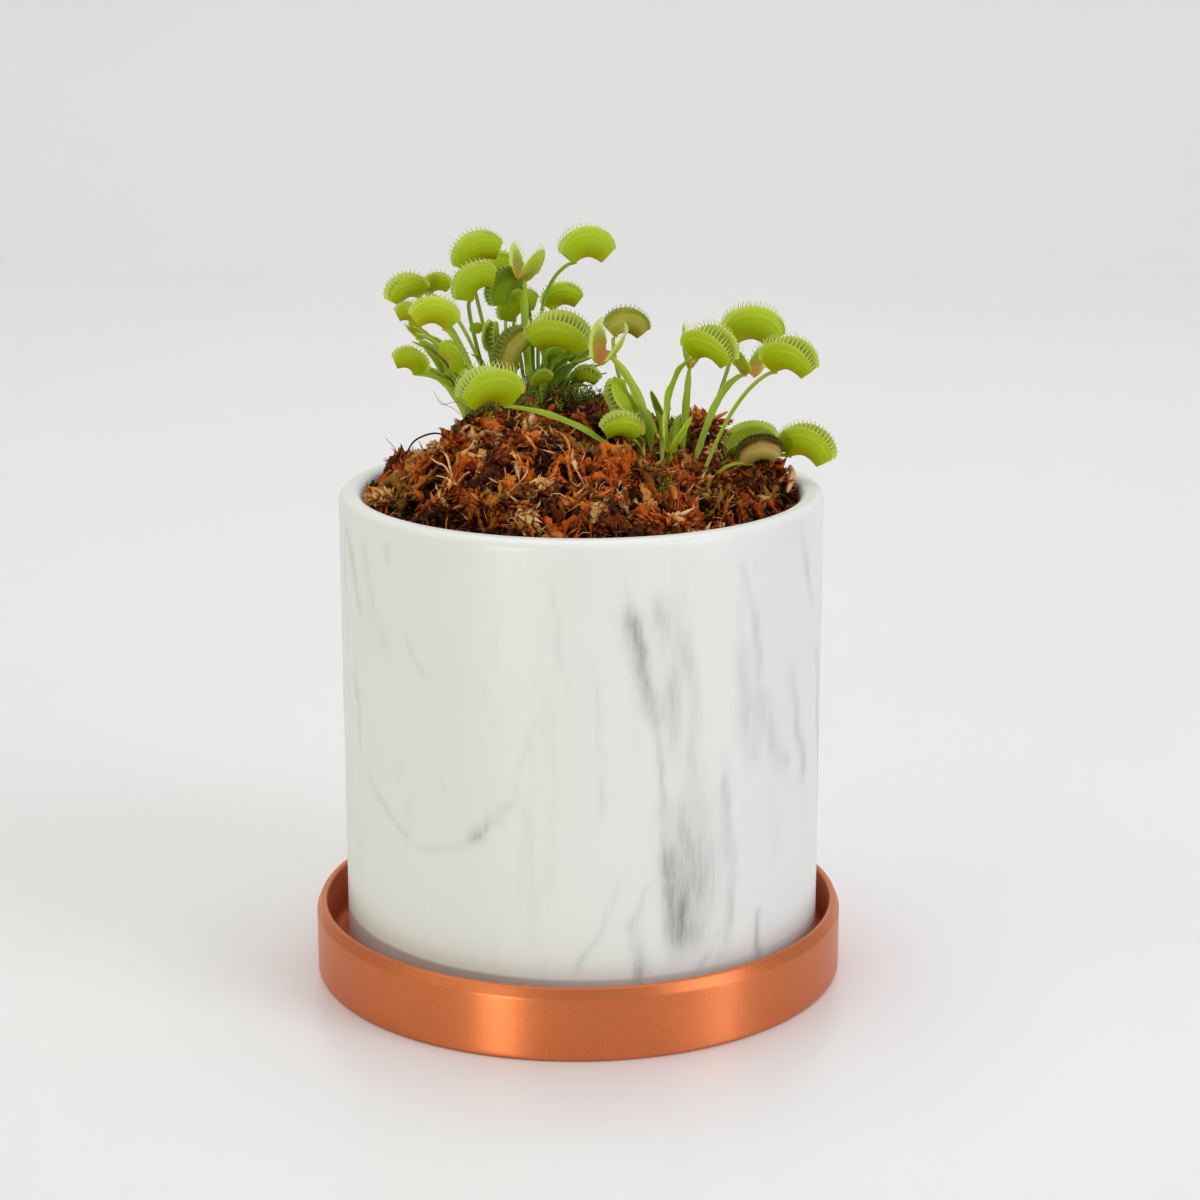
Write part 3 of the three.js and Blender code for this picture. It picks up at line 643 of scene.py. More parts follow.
wet_moss_and_shade = Finish("wet_moss_ground_and_painted_shade")
crumbs = wet_moss_and_shade.grain(1.6, 5, rough=0.7)
# Near black to dark brown: the colour of wet moss with painted shade.
wet_moss_and_shade_tone = wet_moss_and_shade.ramp(crumbs, (0.3, 22, 8, 3), (0.55, 60, 25, 8), (0.75, 108, 50, 16))
wet_moss_and_shade.shade(Base_Color=wet_moss_and_shade_tone, Roughness=0.8, Specular_IOR_Level=0.1, Normal=wet_moss_and_shade.relief(crumbs, 1.2))
ground_faces = lattice(GROUND_RINGS + len(LOWER_RINGS), GROUND_COLUMNS, around=True)
piece("moss_ground", ground_points, [ground_faces], wet_moss_and_shade, "moss", ["moss_bed"], weld=True)
print("ground points:", len(ground_points))

# %% [markdown]
# ### Paths over the moss
# Each strand starts as a path of stations that steps forward, turns a little, and keeps a height over the
# ground. Strands could be drawn one at a time, but a whole kind worked out together as one big array is far
# quicker. The dice is seeded, so every run lays the same moss.

# %% Random places
strewn = np.random.default_rng(4)


def scattered(count):
    """Random places inside the pot, evenly spread over its disc."""
    angle = strewn.uniform(0, 2 * math.pi, count)
    distance = (SOIL_RADIUS - 1.5) * np.sqrt(strewn.uniform(0, 1, count))
    return POT_X + distance * np.cos(angle), distance * np.sin(angle)


def kept_inside(points, margin):
    """Pushes points that have run out of the pot back to its wall."""
    sideways = points[..., :2] - (POT_X, 0)
    distance = np.linalg.norm(sideways, axis=-1, keepdims=True)
    room = (SOIL_RADIUS - margin) / np.maximum(distance, 1e-6)
    points[..., :2] = (POT_X, 0) + sideways * np.minimum(room, 1)
    return points


print("wall of moss at", SOIL_RADIUS, "mm from the pot's axis")

# %% Laying paths


def laid_paths(count, stations, length, lift, wander, sway=0.0):
    """Paths that lie on the moss: each steps forward, turns by chance, and rises over the ground."""
    x, y = scattered(count)
    heading = strewn.uniform(0, 2 * math.pi, count)
    step = strewn.uniform(*length, count) / (stations - 1)
    rise = strewn.uniform(*lift, count)
    path = np.zeros((count, stations, 3))
    for station in range(stations):
        arch = math.sin(math.pi * (station + 0.3) / (stations - 0.4))
        path[:, station, 0] = x
        path[:, station, 1] = y
        path[:, station, 2] = rise * arch + strewn.normal(0, sway, count)
        heading += strewn.normal(0, wander, count)
        x = x + step * np.cos(heading)
        y = y + step * np.sin(heading)
    path = kept_inside(path, 1.0)
    path[..., 2] += moss_top(path[..., 0], path[..., 1])
    return path


print("in the pot's middle the moss reaches", round(float(moss_top(POT_X, 0)), 1), "mm")

# %% [markdown]
# Real moss changes colour by the patch, where one lot of stems has dried or rotted. A number drawn for each
# strand alone gives confetti. So the number follows a slow noise over the mound, with a share of chance.

# %% Colour by place
USUAL_TONE, TONE_BY_PLACE, TONE_BY_CHANCE = 0.46, 0.85, 0.19
OLIVE_BY_PLACE, OLIVE_CHANCE, MOST_OLIVE = 2.2, 0.08, 0.75
# Painted shade in the hollows: the depth in mm where it starts, the depth over which it grows, and its
# strongest share.
DARK_FROM, DARK_OVER, DARKEST = 0.2, 3.2, 0.93


def moss_tone(path):
    """A strand's colour number: neighbours are alike, with a share of chance."""
    middle = path[:, path.shape[1] // 2]
    by_place = TONE_BY_PLACE * rumple(middle[:, 0] + 200, middle[:, 1], 6)
    tone = USUAL_TONE + 0.0025 * middle[:, 0] + by_place
    return np.clip(tone + strewn.normal(0, TONE_BY_CHANCE, len(path)), 0, 1)


def moss_olive(path):
    """How olive a strand is: some patches of the mound are, and a few strands elsewhere."""
    middle = path[:, path.shape[1] // 2]
    patch = OLIVE_BY_PLACE * rumple(middle[:, 0] + 60, middle[:, 1] + 300, 9) - 0.5
    return np.clip(patch + 0.5 * (strewn.random(len(path)) < OLIVE_CHANCE), 0, MOST_OLIVE)


def painted_hollow_shade(points):
    """How deep each point lies in a hollow, from 0 to 1: the share of painted shade that darkens it there."""
    depth = moss_height(points[:, 0], points[:, 1]) - SETTLED - points[:, 2]
    return np.clip((depth - DARK_FROM) / DARK_OVER, 0, DARKEST)


print("moss is darkest", round(DARK_FROM + DARKEST * DARK_OVER, 1), "mm down in a hollow")

# %% [markdown]
# ### Sections round a path
# A path becomes a solid when a section is carried along it. Shreds and fibres take a thin flat section, and
# ropes a round one. The section needs a direction ahead, one to the side and one upward at each station.
# Each point also keeps how far along and across its strand it lies, so that a shader can draw fibres there.

# %% Directions and faces


def path_frames(path, twist):
    """The forward, sideways and upward directions at every station, turned about the path by twist."""
    forward = unit(np.gradient(path, axis=1) + 1e-6)
    sideways = unit(np.cross(forward, (0.02, 0.01, 1.0)))
    upward = np.cross(sideways, forward)
    turned = np.cos(twist)[..., None] * sideways + np.sin(twist)[..., None] * upward
    return forward, turned, np.cross(turned, forward)


def strip_faces(count, stations, sides):
    """Faces of many closed tubes laid out one after another."""
    one = lattice(stations, sides, around=True)
    ends = [np.arange(sides)[::-1], (stations - 1) * sides + np.arange(sides)]
    shift = (np.arange(count) * stations * sides)[:, None, None]
    walls = (one[None] + shift).reshape(-1, 4)
    caps = (np.array(ends)[None] + shift).reshape(-1, sides)
    return [walls, caps]


def fibre_shares(paths, crosswise):
    """Where each point lies along its strand and across it, in mm: the finish draws its fibres there."""
    steps = np.linalg.norm(np.diff(paths, axis=1), axis=2)
    along = np.concatenate([np.zeros((len(paths), 1)), np.cumsum(steps, axis=1)], axis=1)
    along += strewn.uniform(0, 400, (len(paths), 1))
    lengthwise = np.broadcast_to(along[..., None], crosswise.shape)
    return {"lengthwise": lengthwise.ravel(), "crosswise": crosswise.ravel()}


print("a tube of 3 stations and 4 sides has", sum(len(block) for block in strip_faces(1, 3, 4)), "faces")

# %% Flat strips
STRIP_SIDES = 4


def ribbons(path, width, thick, twist, fray=0.0):
    """Flat strips with a four-sided section, narrow ends and frayed edges, one for each path."""
    count, stations = path.shape[:2]
    _, across, off = path_frames(path, twist)
    taper = np.sin(np.pi * np.linspace(0.06, 0.94, stations)) ** 0.6
    torn = strewn.uniform(1 - 2 * fray, 1, (count, stations))
    half = (width[:, None] * taper * torn)[..., None] / 2
    rise = np.broadcast_to(np.asarray(thick) * taper, (count, stations))[..., None] / 2
    corners = [path + across * half, path + off * rise, path - across * half, path - off * rise]
    points = np.stack(corners, 2).reshape(-1, 3)
    crosswise = half * (1, 0, -1, 0)
    return points, strip_faces(count, stations, STRIP_SIDES), fibre_shares(path, crosswise)


print("sides of a flat strip:", STRIP_SIDES)

# %% [markdown]
# ### The colour of sphagnum
# Dry sphagnum runs from nearly black, through rust, to straw, with olive patches, and each stem is streaked
# along its length. One flat brown would look like clay. A ramp turns the strand's own number into its
# colour, and a noise stretched along the strand shifts that number, which gives streaks of real fibre size.

# %% The strand finish
FIBRE_LONG, FIBRE_WIDE = 2.2, 0.24
strand = Finish("sphagnum_strand")
along_strand = strand.share("lengthwise") * (1 / FIBRE_LONG)
across_strand = strand.share("crosswise") * (1 / FIBRE_WIDE)
fibre_place = strand.node("ShaderNodeCombineXYZ", {}, {"X": along_strand, "Y": across_strand})
fibre_sockets = {"Vector": fibre_place, "Scale": 1.0, "Detail": 4, "Roughness": 0.6}
fibres = strand.node("ShaderNodeTexNoise", {}, fibre_sockets)
fleck = fibres * 0.65 + strand.grain(0.9, 4, rough=0.65) * 0.35
strand_tone = strand.ramp(
    strand.share("tone") + (fleck - 0.5) * 1.5,
    (0.0, 42, 18, 3), (0.22, 106, 44, 5), (0.45, 178, 74, 8), (0.65, 212, 102, 22),
    (0.84, 228, 146, 64), (1.0, 244, 198, 130),
)
strand_tone = strand.blend(strand.share("olive"), strand_tone, tint(150, 112, 36))
strand.shade(
    # Painted shade: the deeper a strand lies in a hollow, the nearer its colour is blended to near black.
    # Dark threads take the same blend for their own black colour.
    Base_Color=strand.blend(strand.share("sunk"), strand_tone, tint(26, 9, 3)),
    Roughness=0.55,
    Specular_IOR_Level=0.14,
    Normal=strand.relief(fleck, 0.6, 1),
)


def moss_piece(name, points, faces, tone, olive, grain, sunk=None):
    """A piece of dead moss. tone and olive hold one number for each strand, or for each point."""
    tone, olive = (np.repeat(np.atleast_1d(each), len(points) // np.size(each)) for each in (tone, olive))
    # Unless given, each point gets the painted shade of its hollow.
    sunk = painted_hollow_shade(points) if sunk is None else sunk
    piece(name, points, faces, strand, "moss", tone=np.clip(tone, 0, 1), olive=olive, sunk=sunk, **grain)
    print(name, "points:", len(points))


# %% [markdown]
# ### Torn shreds
# Most of what shows is flat, torn and twisted, like wet paper. Leaf-shaped cards would all have the same
# clean edge. These are strips whose width is drawn anew at each station, which tears their edges.

# %% Torn shreds
SHREDS, SHRED_STATIONS = 950, 17
shred_paths = laid_paths(SHREDS, SHRED_STATIONS, (4, 11), (0.2, 3.4), 0.26, 0.14)
shred_width = strewn.uniform(0.8, 3.2, SHREDS)
shred_twist = strewn.uniform(-0.9, 0.9, SHREDS)[:, None] + np.linspace(-0.7, 0.7, SHRED_STATIONS)
shred_points, shred_faces, shred_grain = ribbons(shred_paths, shred_width, 0.28, shred_twist, 0.46)
moss_piece("moss_shreds", shred_points, shred_faces, moss_tone(shred_paths), moss_olive(shred_paths),
           shred_grain)

# %% [markdown]
# ### Ropes
# Thick stems wrapped in their own dead leaves run between the shreds. A tube with a bump map keeps a smooth
# outline, which gives it away. Here noise moves the skin, to a quarter of its radius or up to twice it.

# %% Ropes
ROPES, ROPE_STATIONS, ROPE_SIDES = 300, 30, 10
rope_paths = laid_paths(ROPES, ROPE_STATIONS, (6, 15), (0, 2.8), 0.16, 0.08)
rope_radius = strewn.uniform(0.6, 1.6, ROPES)[:, None, None]
_, rope_across, rope_off = path_frames(rope_paths, np.zeros(rope_paths.shape[:2]))
rope_turn = np.linspace(0, 2 * math.pi, ROPE_SIDES, endpoint=False)[:, None]
rope_out = rope_across[:, :, None] * np.cos(rope_turn) + rope_off[:, :, None] * np.sin(rope_turn)
rope_x, rope_y, rope_z = np.moveaxis(rope_paths[:, :, None] + rope_out * rope_radius[..., None], -1, 0)
rope_taper = np.sin(np.pi * np.linspace(0.04, 0.96, ROPE_STATIONS)) ** 0.55
torn = 1 + 0.8 * rumple(rope_x, rope_y, 1.5, rope_z) + 1.1 * rumple(rope_x, rope_y, 0.6, rope_z)
rope_reach = rope_radius * rope_taper[:, None] * np.clip(torn, 0.25, 2)
rope_points = (rope_paths[:, :, None] + rope_out * rope_reach[..., None]).reshape(-1, 3)
rope_cross = rope_radius * rope_turn[:, 0] * np.ones((1, ROPE_STATIONS, 1))
moss_piece("moss_ropes", rope_points, strip_faces(ROPES, ROPE_STATIONS, ROPE_SIDES), moss_tone(rope_paths),
           moss_olive(rope_paths), fibre_shares(rope_paths, rope_cross))

# %% [markdown]
# ### Scales and branches
# A sphagnum branch is a spindle of overlapping scale leaves, set round the stem by the golden angle. A
# particle system could place them. Here one small boat of six points is copied along every path by array
# maths, because then each scale also gets its own colour and its own fibres.

# %% Scales: little pointed boats
# The rows give how far along a scale each point lies, how far across, and how far above or below its sheet.
SCALE_POINTS = np.array([(0, 0, 0), (0.4, 1, -0.3), (1, 0, 0.35), (0.4, -1, -0.3), (0.45, 0, 0.22),
                         (0.45, 0, 0)])
SCALE_FACES = np.array([(0, 1, 4), (1, 2, 4), (2, 3, 4), (3, 0, 4), (1, 0, 5), (2, 1, 5), (3, 2, 5),
                        (0, 3, 5)])


def scales(root, along, side, length, half_width):
    """One scale at each root; the other arrays give its direction, its side and its size."""
    lift = np.cross(side, along)
    corners = []
    for run, across, level in SCALE_POINTS:
        corners.append(root + along * length * run + (side * across + lift * level) * half_width)
    points = np.stack(corners, -2).reshape(-1, 3)
    count = len(points) // len(SCALE_POINTS)
    return points, (SCALE_FACES[None] + len(SCALE_POINTS) * np.arange(count)[:, None, None]).reshape(-1, 3)


def scale_grain(count, length):
    """The fibre shares of many scales, each with its own place in the grain."""
    lengthwise = strewn.uniform(0, 400, (count, 1)) + SCALE_POINTS[:, 0] * length
    return {"lengthwise": lengthwise.ravel(), "crosswise": np.tile(SCALE_POINTS[:, 1], count)}


print("a scale has", len(SCALE_POINTS), "points and", len(SCALE_FACES), "faces")

# %% Branches
GOLDEN_TURN = 2.4


def branches(name, paths, each, radius, length, tone):
    """Spindles of overlapping scales: thickest in their lower half, and drawn out to a point."""
    stations = paths.shape[1]
    run = np.linspace(0, stations - 1, each)
    whole = np.minimum(run.astype(int), stations - 2)
    at = paths[:, whole] + (run - whole)[None, :, None] * (paths[:, whole + 1] - paths[:, whole])
    shape = at.shape[:2]
    turns = GOLDEN_TURN * np.arange(each) + strewn.uniform(0, 6, (shape[0], 1))
    forward, side, off = path_frames(at, np.broadcast_to(turns, shape))
    share = np.linspace(0, 1, each)
    stout = (np.sin(np.pi * (0.12 + 0.84 * share)) ** 0.8)[None, :, None]
    size = strewn.uniform(0.5, 1.5, shape)[..., None] * stout * radius[:, None, None]
    ragged = 0.7 * (strewn.random(shape) < 0.1)
    out = (strewn.uniform(-0.1, 0.3, shape) + ragged)[..., None]
    along = unit(forward + off * out + side * strewn.normal(0, 0.3, shape)[..., None])
    points, faces = scales(at + off * size * 0.6, along, side, length * size ** 0.5, size * 0.6)
    tones = tone[:, None] + 0.1 * share + strewn.normal(0, 0.06, shape)
    tip = np.tile(SCALE_POINTS[:, 0] * 0.2 - 0.06, at[..., 0].size)
    tones = np.repeat(tones.ravel(), len(SCALE_POINTS)) + tip
    moss_piece(name, points, [faces], tones, moss_olive(paths), scale_grain(at[..., 0].size, length))


LAID, LAID_STATIONS, SCALES_EACH, SCALE_LENGTH = 130, 14, 66, 2.2
laid = laid_paths(LAID, LAID_STATIONS, (7, 18), (-0.6, 3.2), 0.32, 0.16)
branches("moss_branches", laid, SCALES_EACH, strewn.uniform(0.7, 1.9, LAID), SCALE_LENGTH, moss_tone(laid))

# %% [markdown]
# ### Heads
# At a stem's tip its branches spread like a mop. Such heads are what makes moss read as moss, so a few are
# listed where the real mound shows paler tufts, and their branches fan out and droop by chance.

# %% Where the branches of each head run
# Heads: x, y, colour number
HEADS = [(-20.5, -37.5, 0.4), (-10, -27, 0.62), (15, -21, 0.6), (23, -37, 0.5), (-44, -12, 0.7),
         (28, -9, 0.66), (46, 10, 0.4), (33, 22, 0.5), (-30, -4, 0.6), (10, 36, 0.5), (-20, 43, 0.6),
         (41, 30, 0.5)]
HEAD_BRANCHES, HEAD_STATIONS = 8, 9
head_at = np.repeat(np.array(HEADS), HEAD_BRANCHES, axis=0)
heading = strewn.uniform(0, 2 * math.pi, len(head_at))
steep = strewn.uniform(-0.3, 0.7, len(head_at))
reach = strewn.uniform(5, 11, len(head_at))
share = np.linspace(0, 1, HEAD_STATIONS)
flat_run = (reach * np.cos(steep))[:, None] * share
fan = np.zeros((len(head_at), HEAD_STATIONS, 3))
fan[..., 0] = head_at[:, :1] + flat_run * np.cos(heading)[:, None]
fan[..., 1] = head_at[:, 1:2] + flat_run * np.sin(heading)[:, None]
fan = kept_inside(fan, 1.2)
ground = moss_top(head_at[:, 0], head_at[:, 1])[:, None]
climb = (reach * np.sin(steep))[:, None] * (share - 0.55 * share ** 2)
fan[..., 2] = np.maximum(ground + 0.8 + climb, moss_top(fan[..., 0], fan[..., 1]) + 0.5 + climb * 0.4)
fan_tone = np.clip(head_at[:, 2] + strewn.normal(0, 0.12, len(head_at)), 0, 1)
print("heads:", len(HEADS), "with", len(fan), "branches")
branches("moss_heads", fan, 40, strewn.uniform(0.9, 2.0, len(head_at)), SCALE_LENGTH, fan_tone)

# %% [markdown]
# ### Flakes and fibres
# Between the strands lie single scales that have broken off, and long pale threads. They could be left to
# the texture, but they cast the small shadows that make the mound look loose. Both reuse what is above.

# %% Loose flakes
FLAKES = 1500
flake_x, flake_y = scattered(FLAKES)
flake_root = np.stack([flake_x, flake_y, moss_top(flake_x, flake_y) + strewn.uniform(0, 3, FLAKES)], -1)
flake_along = unit(np.stack([strewn.normal(0, 1, FLAKES), strewn.normal(0, 1, FLAKES),
                             strewn.uniform(-0.1, 0.9, FLAKES)], -1))
flake_side = unit(np.cross(flake_along, strewn.normal(0, 1, (FLAKES, 3)) + (0, 0, 2)))
flake_length = 1.2 + 5.5 * strewn.random((FLAKES, 1)) ** 2
flake_width = 0.14 * flake_length + 0.15
flake_points, flake_faces = scales(flake_root, flake_along, flake_side, flake_length, flake_width)
flake_points = kept_inside(flake_points, 0.3)
flake_tone = moss_tone(flake_root[:, None]) + 0.14
flake_tone = np.repeat(flake_tone, len(SCALE_POINTS)) + np.tile(SCALE_POINTS[:, 0] * 0.25 - 0.1, FLAKES)
moss_piece("moss_flakes", flake_points, [flake_faces], flake_tone, moss_olive(flake_root[:, None]),
           scale_grain(FLAKES, 4))

# %% Fine fibres
FIBRES, FIBRE_STATIONS = 420, 9
fibre_paths = laid_paths(FIBRES, FIBRE_STATIONS, (6, 15), (0.6, 3.6), 0.45, 0.25)
fibre_width = strewn.uniform(0.16, 0.32, FIBRES)
level = np.zeros((FIBRES, FIBRE_STATIONS))
fibre_points, fibre_faces, fibre_grain = ribbons(fibre_paths, fibre_width, 0.2, level)
fibre_tone = 0.72 + strewn.normal(0, 0.2, FIBRES)
moss_piece("moss_fibres", fibre_points, fibre_faces, fibre_tone, 0.0, fibre_grain, sunk=0.0)

# %% [markdown]
# ## The growing points
# The leaves of each plant spring from a short pale rhizome in the moss. Little of it shows, so sculpting it
# would be wasted. Each one is a squat lathe, pulled to the same oval as its CAD solid and roughened by
# noise, with a mottled bark of olive and brown.

# %% Rhizomes
rind = Finish("pale_rhizome")
rind_grain = rind.grain(2.2, 4)
rind_tone = rind.ramp(rind_grain, (0.35, 92, 68, 26), (0.55, 124, 120, 46), (0.7, 158, 166, 78))
rind.shade(Base_Color=rind_tone, Roughness=0.6, Normal=rind.relief(rind_grain, 0.4))
# Rhizomes: x, y, half width, half depth
RHIZOMES = {"left": (-20, 26.5, 4.5, 12), "middle": (-10.1, 23.5, 4.9, 11), "right": (23.8, 4, 9.6, 10.5)}
RHIZOME_PROFILE = [(0, 0.6), (0.4, 0.5), (0.72, 0.2), (0.92, -0.6), (1, -2), (1, -4.5), (0.8, -7), (0.55, -9),
                   (0, -9.2)]
RHIZOME_COLUMNS = 40
for crown, (x, y, half_x, half_y) in RHIZOMES.items():
    bulb, _ = lathe(RHIZOME_PROFILE, RHIZOME_COLUMNS)
    bulb *= (half_x, half_y, 1)
    bulb *= 1 - 0.05 * np.abs(rumple(bulb[:, 0] + x, bulb[:, 1] + y, 1.7))[:, None] * (1, 1, 0)
    bulb += (x, y, moss_height_at(x, y))
    bulb_faces = lattice(len(RHIZOME_PROFILE), RHIZOME_COLUMNS, around=True)
    piece(f"crown_{crown}", bulb, [bulb_faces], rind, "rhizome", [f"rhizome_{crown}"], weld=True)
print("crowns:", list(RHIZOMES))

# %% [markdown]
# ## The leaves
# A flytrap's leaf is a winged stalk that ends in two lobes hinged along a midrib, with a fringe of teeth.
# A few modelled leaves could be copied about, but no two are alike here. So each leaf is a row of a table
# that repeats the CAD source: where it is rooted, bends and meets its trap, where the trap aims, its span,
# how wide it gapes, the stalk's width, and for some the height of the lobes. Three numbers from 0 to 1 are
# added for its colour: how deep a green, how golden, and how flushed with red.

# %% The leaf table
LEAVES = {
    "left": [
        ((-18.5, 26), (-23, 25, 157), (-27, 22, 175), (0, 25, 2), 13, 22, 1.6, (0.22, 0.3, 0)),
        ((-19.5, 20), (-26, 17, 160), (-26.5, 14, 168.5), (10, 35, 0), 12, 20, 2.2, (0.32, 0.1, 0)),
        ((-16.5, 32), (-18.5, 38, 156), (-17.5, 40, 171), (180, 10, -5), 9.5, 28, 1.4, (0, 0.5, 0.1)),
        ((-17.5, 21), (-19.5, 21, 149.5), (-19.5, 20, 157.5), (-110, 70, 170), 8.5, 30, 1.3, (0.4, 0.3, 0.2)),
        ((-21.5, 31), (-30.5, 31.5, 156), (-40, 31, 167), (-155, -15, -4), 11, 30, 1.4, (0, 0.7, 0)),
        ((-20, 36.5), (-33, 40.5, 157), (-40, 41, 167), (-80, 30, 5), 4.5, 16, 1, (0, 0.3, 0.5)),
        ((-19, 31), (-28.5, 34, 157), (-38, 36, 167), (0, 10, 5), 8, 30, 1.3, (0, 0.9, 0)),
        ((-21, 17), (-27, 12, 152.5), (-32.5, 10, 162), (-165, 10, 4), 12, 24, 2, (0, 0.4, 0.1)),
        ((-23, 27), (-32.5, 27, 151), (-41, 27, 160), (-155, 25, 0), 8.5, 26, 1.4, (0, 0.6, 0.2)),
        ((-22.5, 30), (-32, 31, 145.5), (-40.5, 32, 156), (-160, 45, 60), 6, 24, 2.8, (0, 0.3, 0.1)),
        ((-22, 22), (-28.5, 22, 145), (-32, 22, 149.5), (180, 55, -8), 9, 22, 1.6, (0, 0.4, 0.1)),
        ((-23, 20), (-32, 21, 145.5), (-41, 22, 148.5), (-155, 25, -6), 9.5, 20, 1.5, (0, 0.2, 0)),
        ((-17, 28), (-21.5, 32, 149.5), (-24, 35, 158), (180, 80, 180), 2.6, 10, 1.2, (0.3, 0.2, 0), 1.4),
    ],
    "middle": [
        ((-12, 26), (-11.5, 28, 156.5), (-14, 27.6, 170.5), (-155, -45, 5), 11.5, 24, 1.5, (0.9, 0.1, 0)),
        ((-10.5, 22.5), (-13, 22.5, 156.5), (-13, 24, 172), (-108, 15, -8), 10.5, 48, 2.2,
         (0, 0.5, 0.6), 0.85),
        ((-9, 27), (-9, 25, 164), (-1, 22, 177), (15, 0, -15), 13.5, 22, 1.2, (0.25, 0.2, 0)),
        ((-8.5, 31), (-7, 38, 152), (-6.5, 42, 162), (0, 10, 0), 10.5, 26, 1.3, (0, 0.4, 0)),
        ((-12.5, 30), (-14.5, 32, 150.5), (-16.5, 32, 160.5), (10, 30, 0), 11, 24, 1.3, (0.3, 0.6, 0)),
        ((-13.5, 20), (-15.5, 15.5, 147), (-15, 13.5, 151.5), (20, 60, 10), 12.5, 22, 1.8, (0.3, 0.5, 0.2)),
        ((-8.5, 18), (-8, 12.5, 150.5), (-9, 10, 157), (-15, -5, 14), 15.8, 36, 1.3, (0.1, 0.3, 0)),
        ((-7.5, 26), (-5.5, 28, 146.5), (-6, 30, 150), (0, 5, 15), 8.5, 30, 1.2, (0.3, 0.2, 0)),
        ((-9.5, 14.5), (-9, 10, 145.5), (-9.5, 9.5, 148), (-20, 20, 20), 5.5, 36, 1, (0.2, 0.2, 0.3)),
        ((-6.5, 20), (-3.5, 21, 146), (0.5, 21, 146.5), (-25, 0, 20), 7.5, 26, 1.4, (0.2, 0.2, 0.3)),
        ((-6.5, 30), (-3, 32, 146), (1.5, 34, 150), (35, 20, 0), 7, 26, 1.2, (0.2, 0.3, 0)),
    ],
    "right": [
        ((17, -2), (2.5, -7, 139.5), (-17, -8, 146), (-152, 0, 3), 16, 38, 2.1, (0.2, 0.25, 0)),
        ((19.5, 1), (16, 1, 144), (7.5, 0, 157.5), (-105, -10, -14), 14, 54, 2.3, (0, 0.7, 0.8)),
        ((18.5, 10), (11, 9, 148), (9, 12, 160), (10, -5, 0), 11, 18, 1.4, (0.15, 0.8, 0.8)),
        ((18.5, 6), (17.5, 6, 137.5), (15, 5, 145), (180, 55, -145), 10.5, 30, 1.7, (0.3, 0.2, 0)),
        ((16.5, 0), (15.5, -3, 134), (13, -5, 137), (-160, 10, -12), 10.5, 28, 1.6, (0.2, 0.2, 0)),
        ((22.5, -4), (22.5, -5, 132), (22.5, -5.5, 133.5), (-105, 20, -10), 5, 36, 1.6, (0.2, 0.2, 0.1), 2.1),
        ((21, -1), (22.5, 0, 147), (29, 2, 156), (-40, -10, 6), 14.5, 38, 2.8, (0, 0.15, 0)),
        ((25.5, 8), (27, 11, 140.5), (28, 13, 151.5), (-85, 15, -10), 9.5, 34, 1.9, (0, 0.5, 0.1), 1.1),
        ((26.5, 8), (35, 13, 143.5), (39.6, 18.5, 157), (5, -5, -8), 15.2, 24, 2, (0, 0.15, 0)),
        ((28, 5), (34.5, 9.5, 143), (42, 12.5, 150), (-70, 5, 0), 10, 60, 2, (0, 0.6, 0.8), 0.85),
        ((29.5, 1.5), (38.5, 2, 143), (48.5, 3, 152.5), (-35, -5, 7), 14.4, 32, 1.8, (0, 0.25, 0)),
        ((31, 8), (37, 12, 127.5), (40.5, 15, 129), (0, 10, 35), 13.5, 46, 1.6, (0.05, 0.6, 0)),
        ((31.5, 3), (42, 7, 128.5), (52.8, 7.9, 130.5), (-25, -15, 2), 14.3, 22, 1.8, (0.05, 0.35, 0)),
        ((22, 12), (21.5, 14, 133), (22, 14, 136.5), (-75, 25, 5), 5, 22, 1.3, (0.4, 0.3, 0.6), 1.9),
        ((25, 12.5), (25.5, 15, 130.5), (26, 15, 132), (-70, 15, 5), 4, 20, 1.2, (0.8, 0, 0), 1.8),
        ((29.5, -1.5), (36, 0, 128.5), (42.5, 3, 129), (0, 10, 15), 11.4, 14, 1.6, (0.3, 0.5, 0.5)),
    ],
}
print("leaves:", {crown: len(leaves) for crown, leaves in LEAVES.items()})

# %% [markdown]
# ### The trap
# A lobe is a half-moon: it starts at the midrib and its margin swings round from heel to tip. Subdivided
# boxes would need much pulling to get that edge. Instead the blade is a lattice given by formulas, with one
# direction along the midrib and the other across both lobes. It gets a thickness, a raised line where the
# lobe turns into its rim, and faint scallops between the teeth.

# %% The middle surface of a trap
TRAP_CHORD, TRAP_ARCH, TRAP_CORNER, TRAP_RISE, TRAP_BULGE = 0.57, 0.12, 0.22, 0.62, 0.13
HINGE_ROUND = 0.14


def trap_frame(aim):
    """The directions along a trap's midrib, out of its opening, and to its side."""
    heading, climb, lean = np.radians(aim)
    level_reach = math.cos(climb)
    along = np.array([level_reach * math.cos(heading), level_reach * math.sin(heading), math.sin(climb)])
    level = unit(np.array([0, 0, 1]) - along * along[2])
    out = level * math.cos(lean) + np.cross(along, level) * math.sin(lean)
    return along, out, np.cross(out, along)


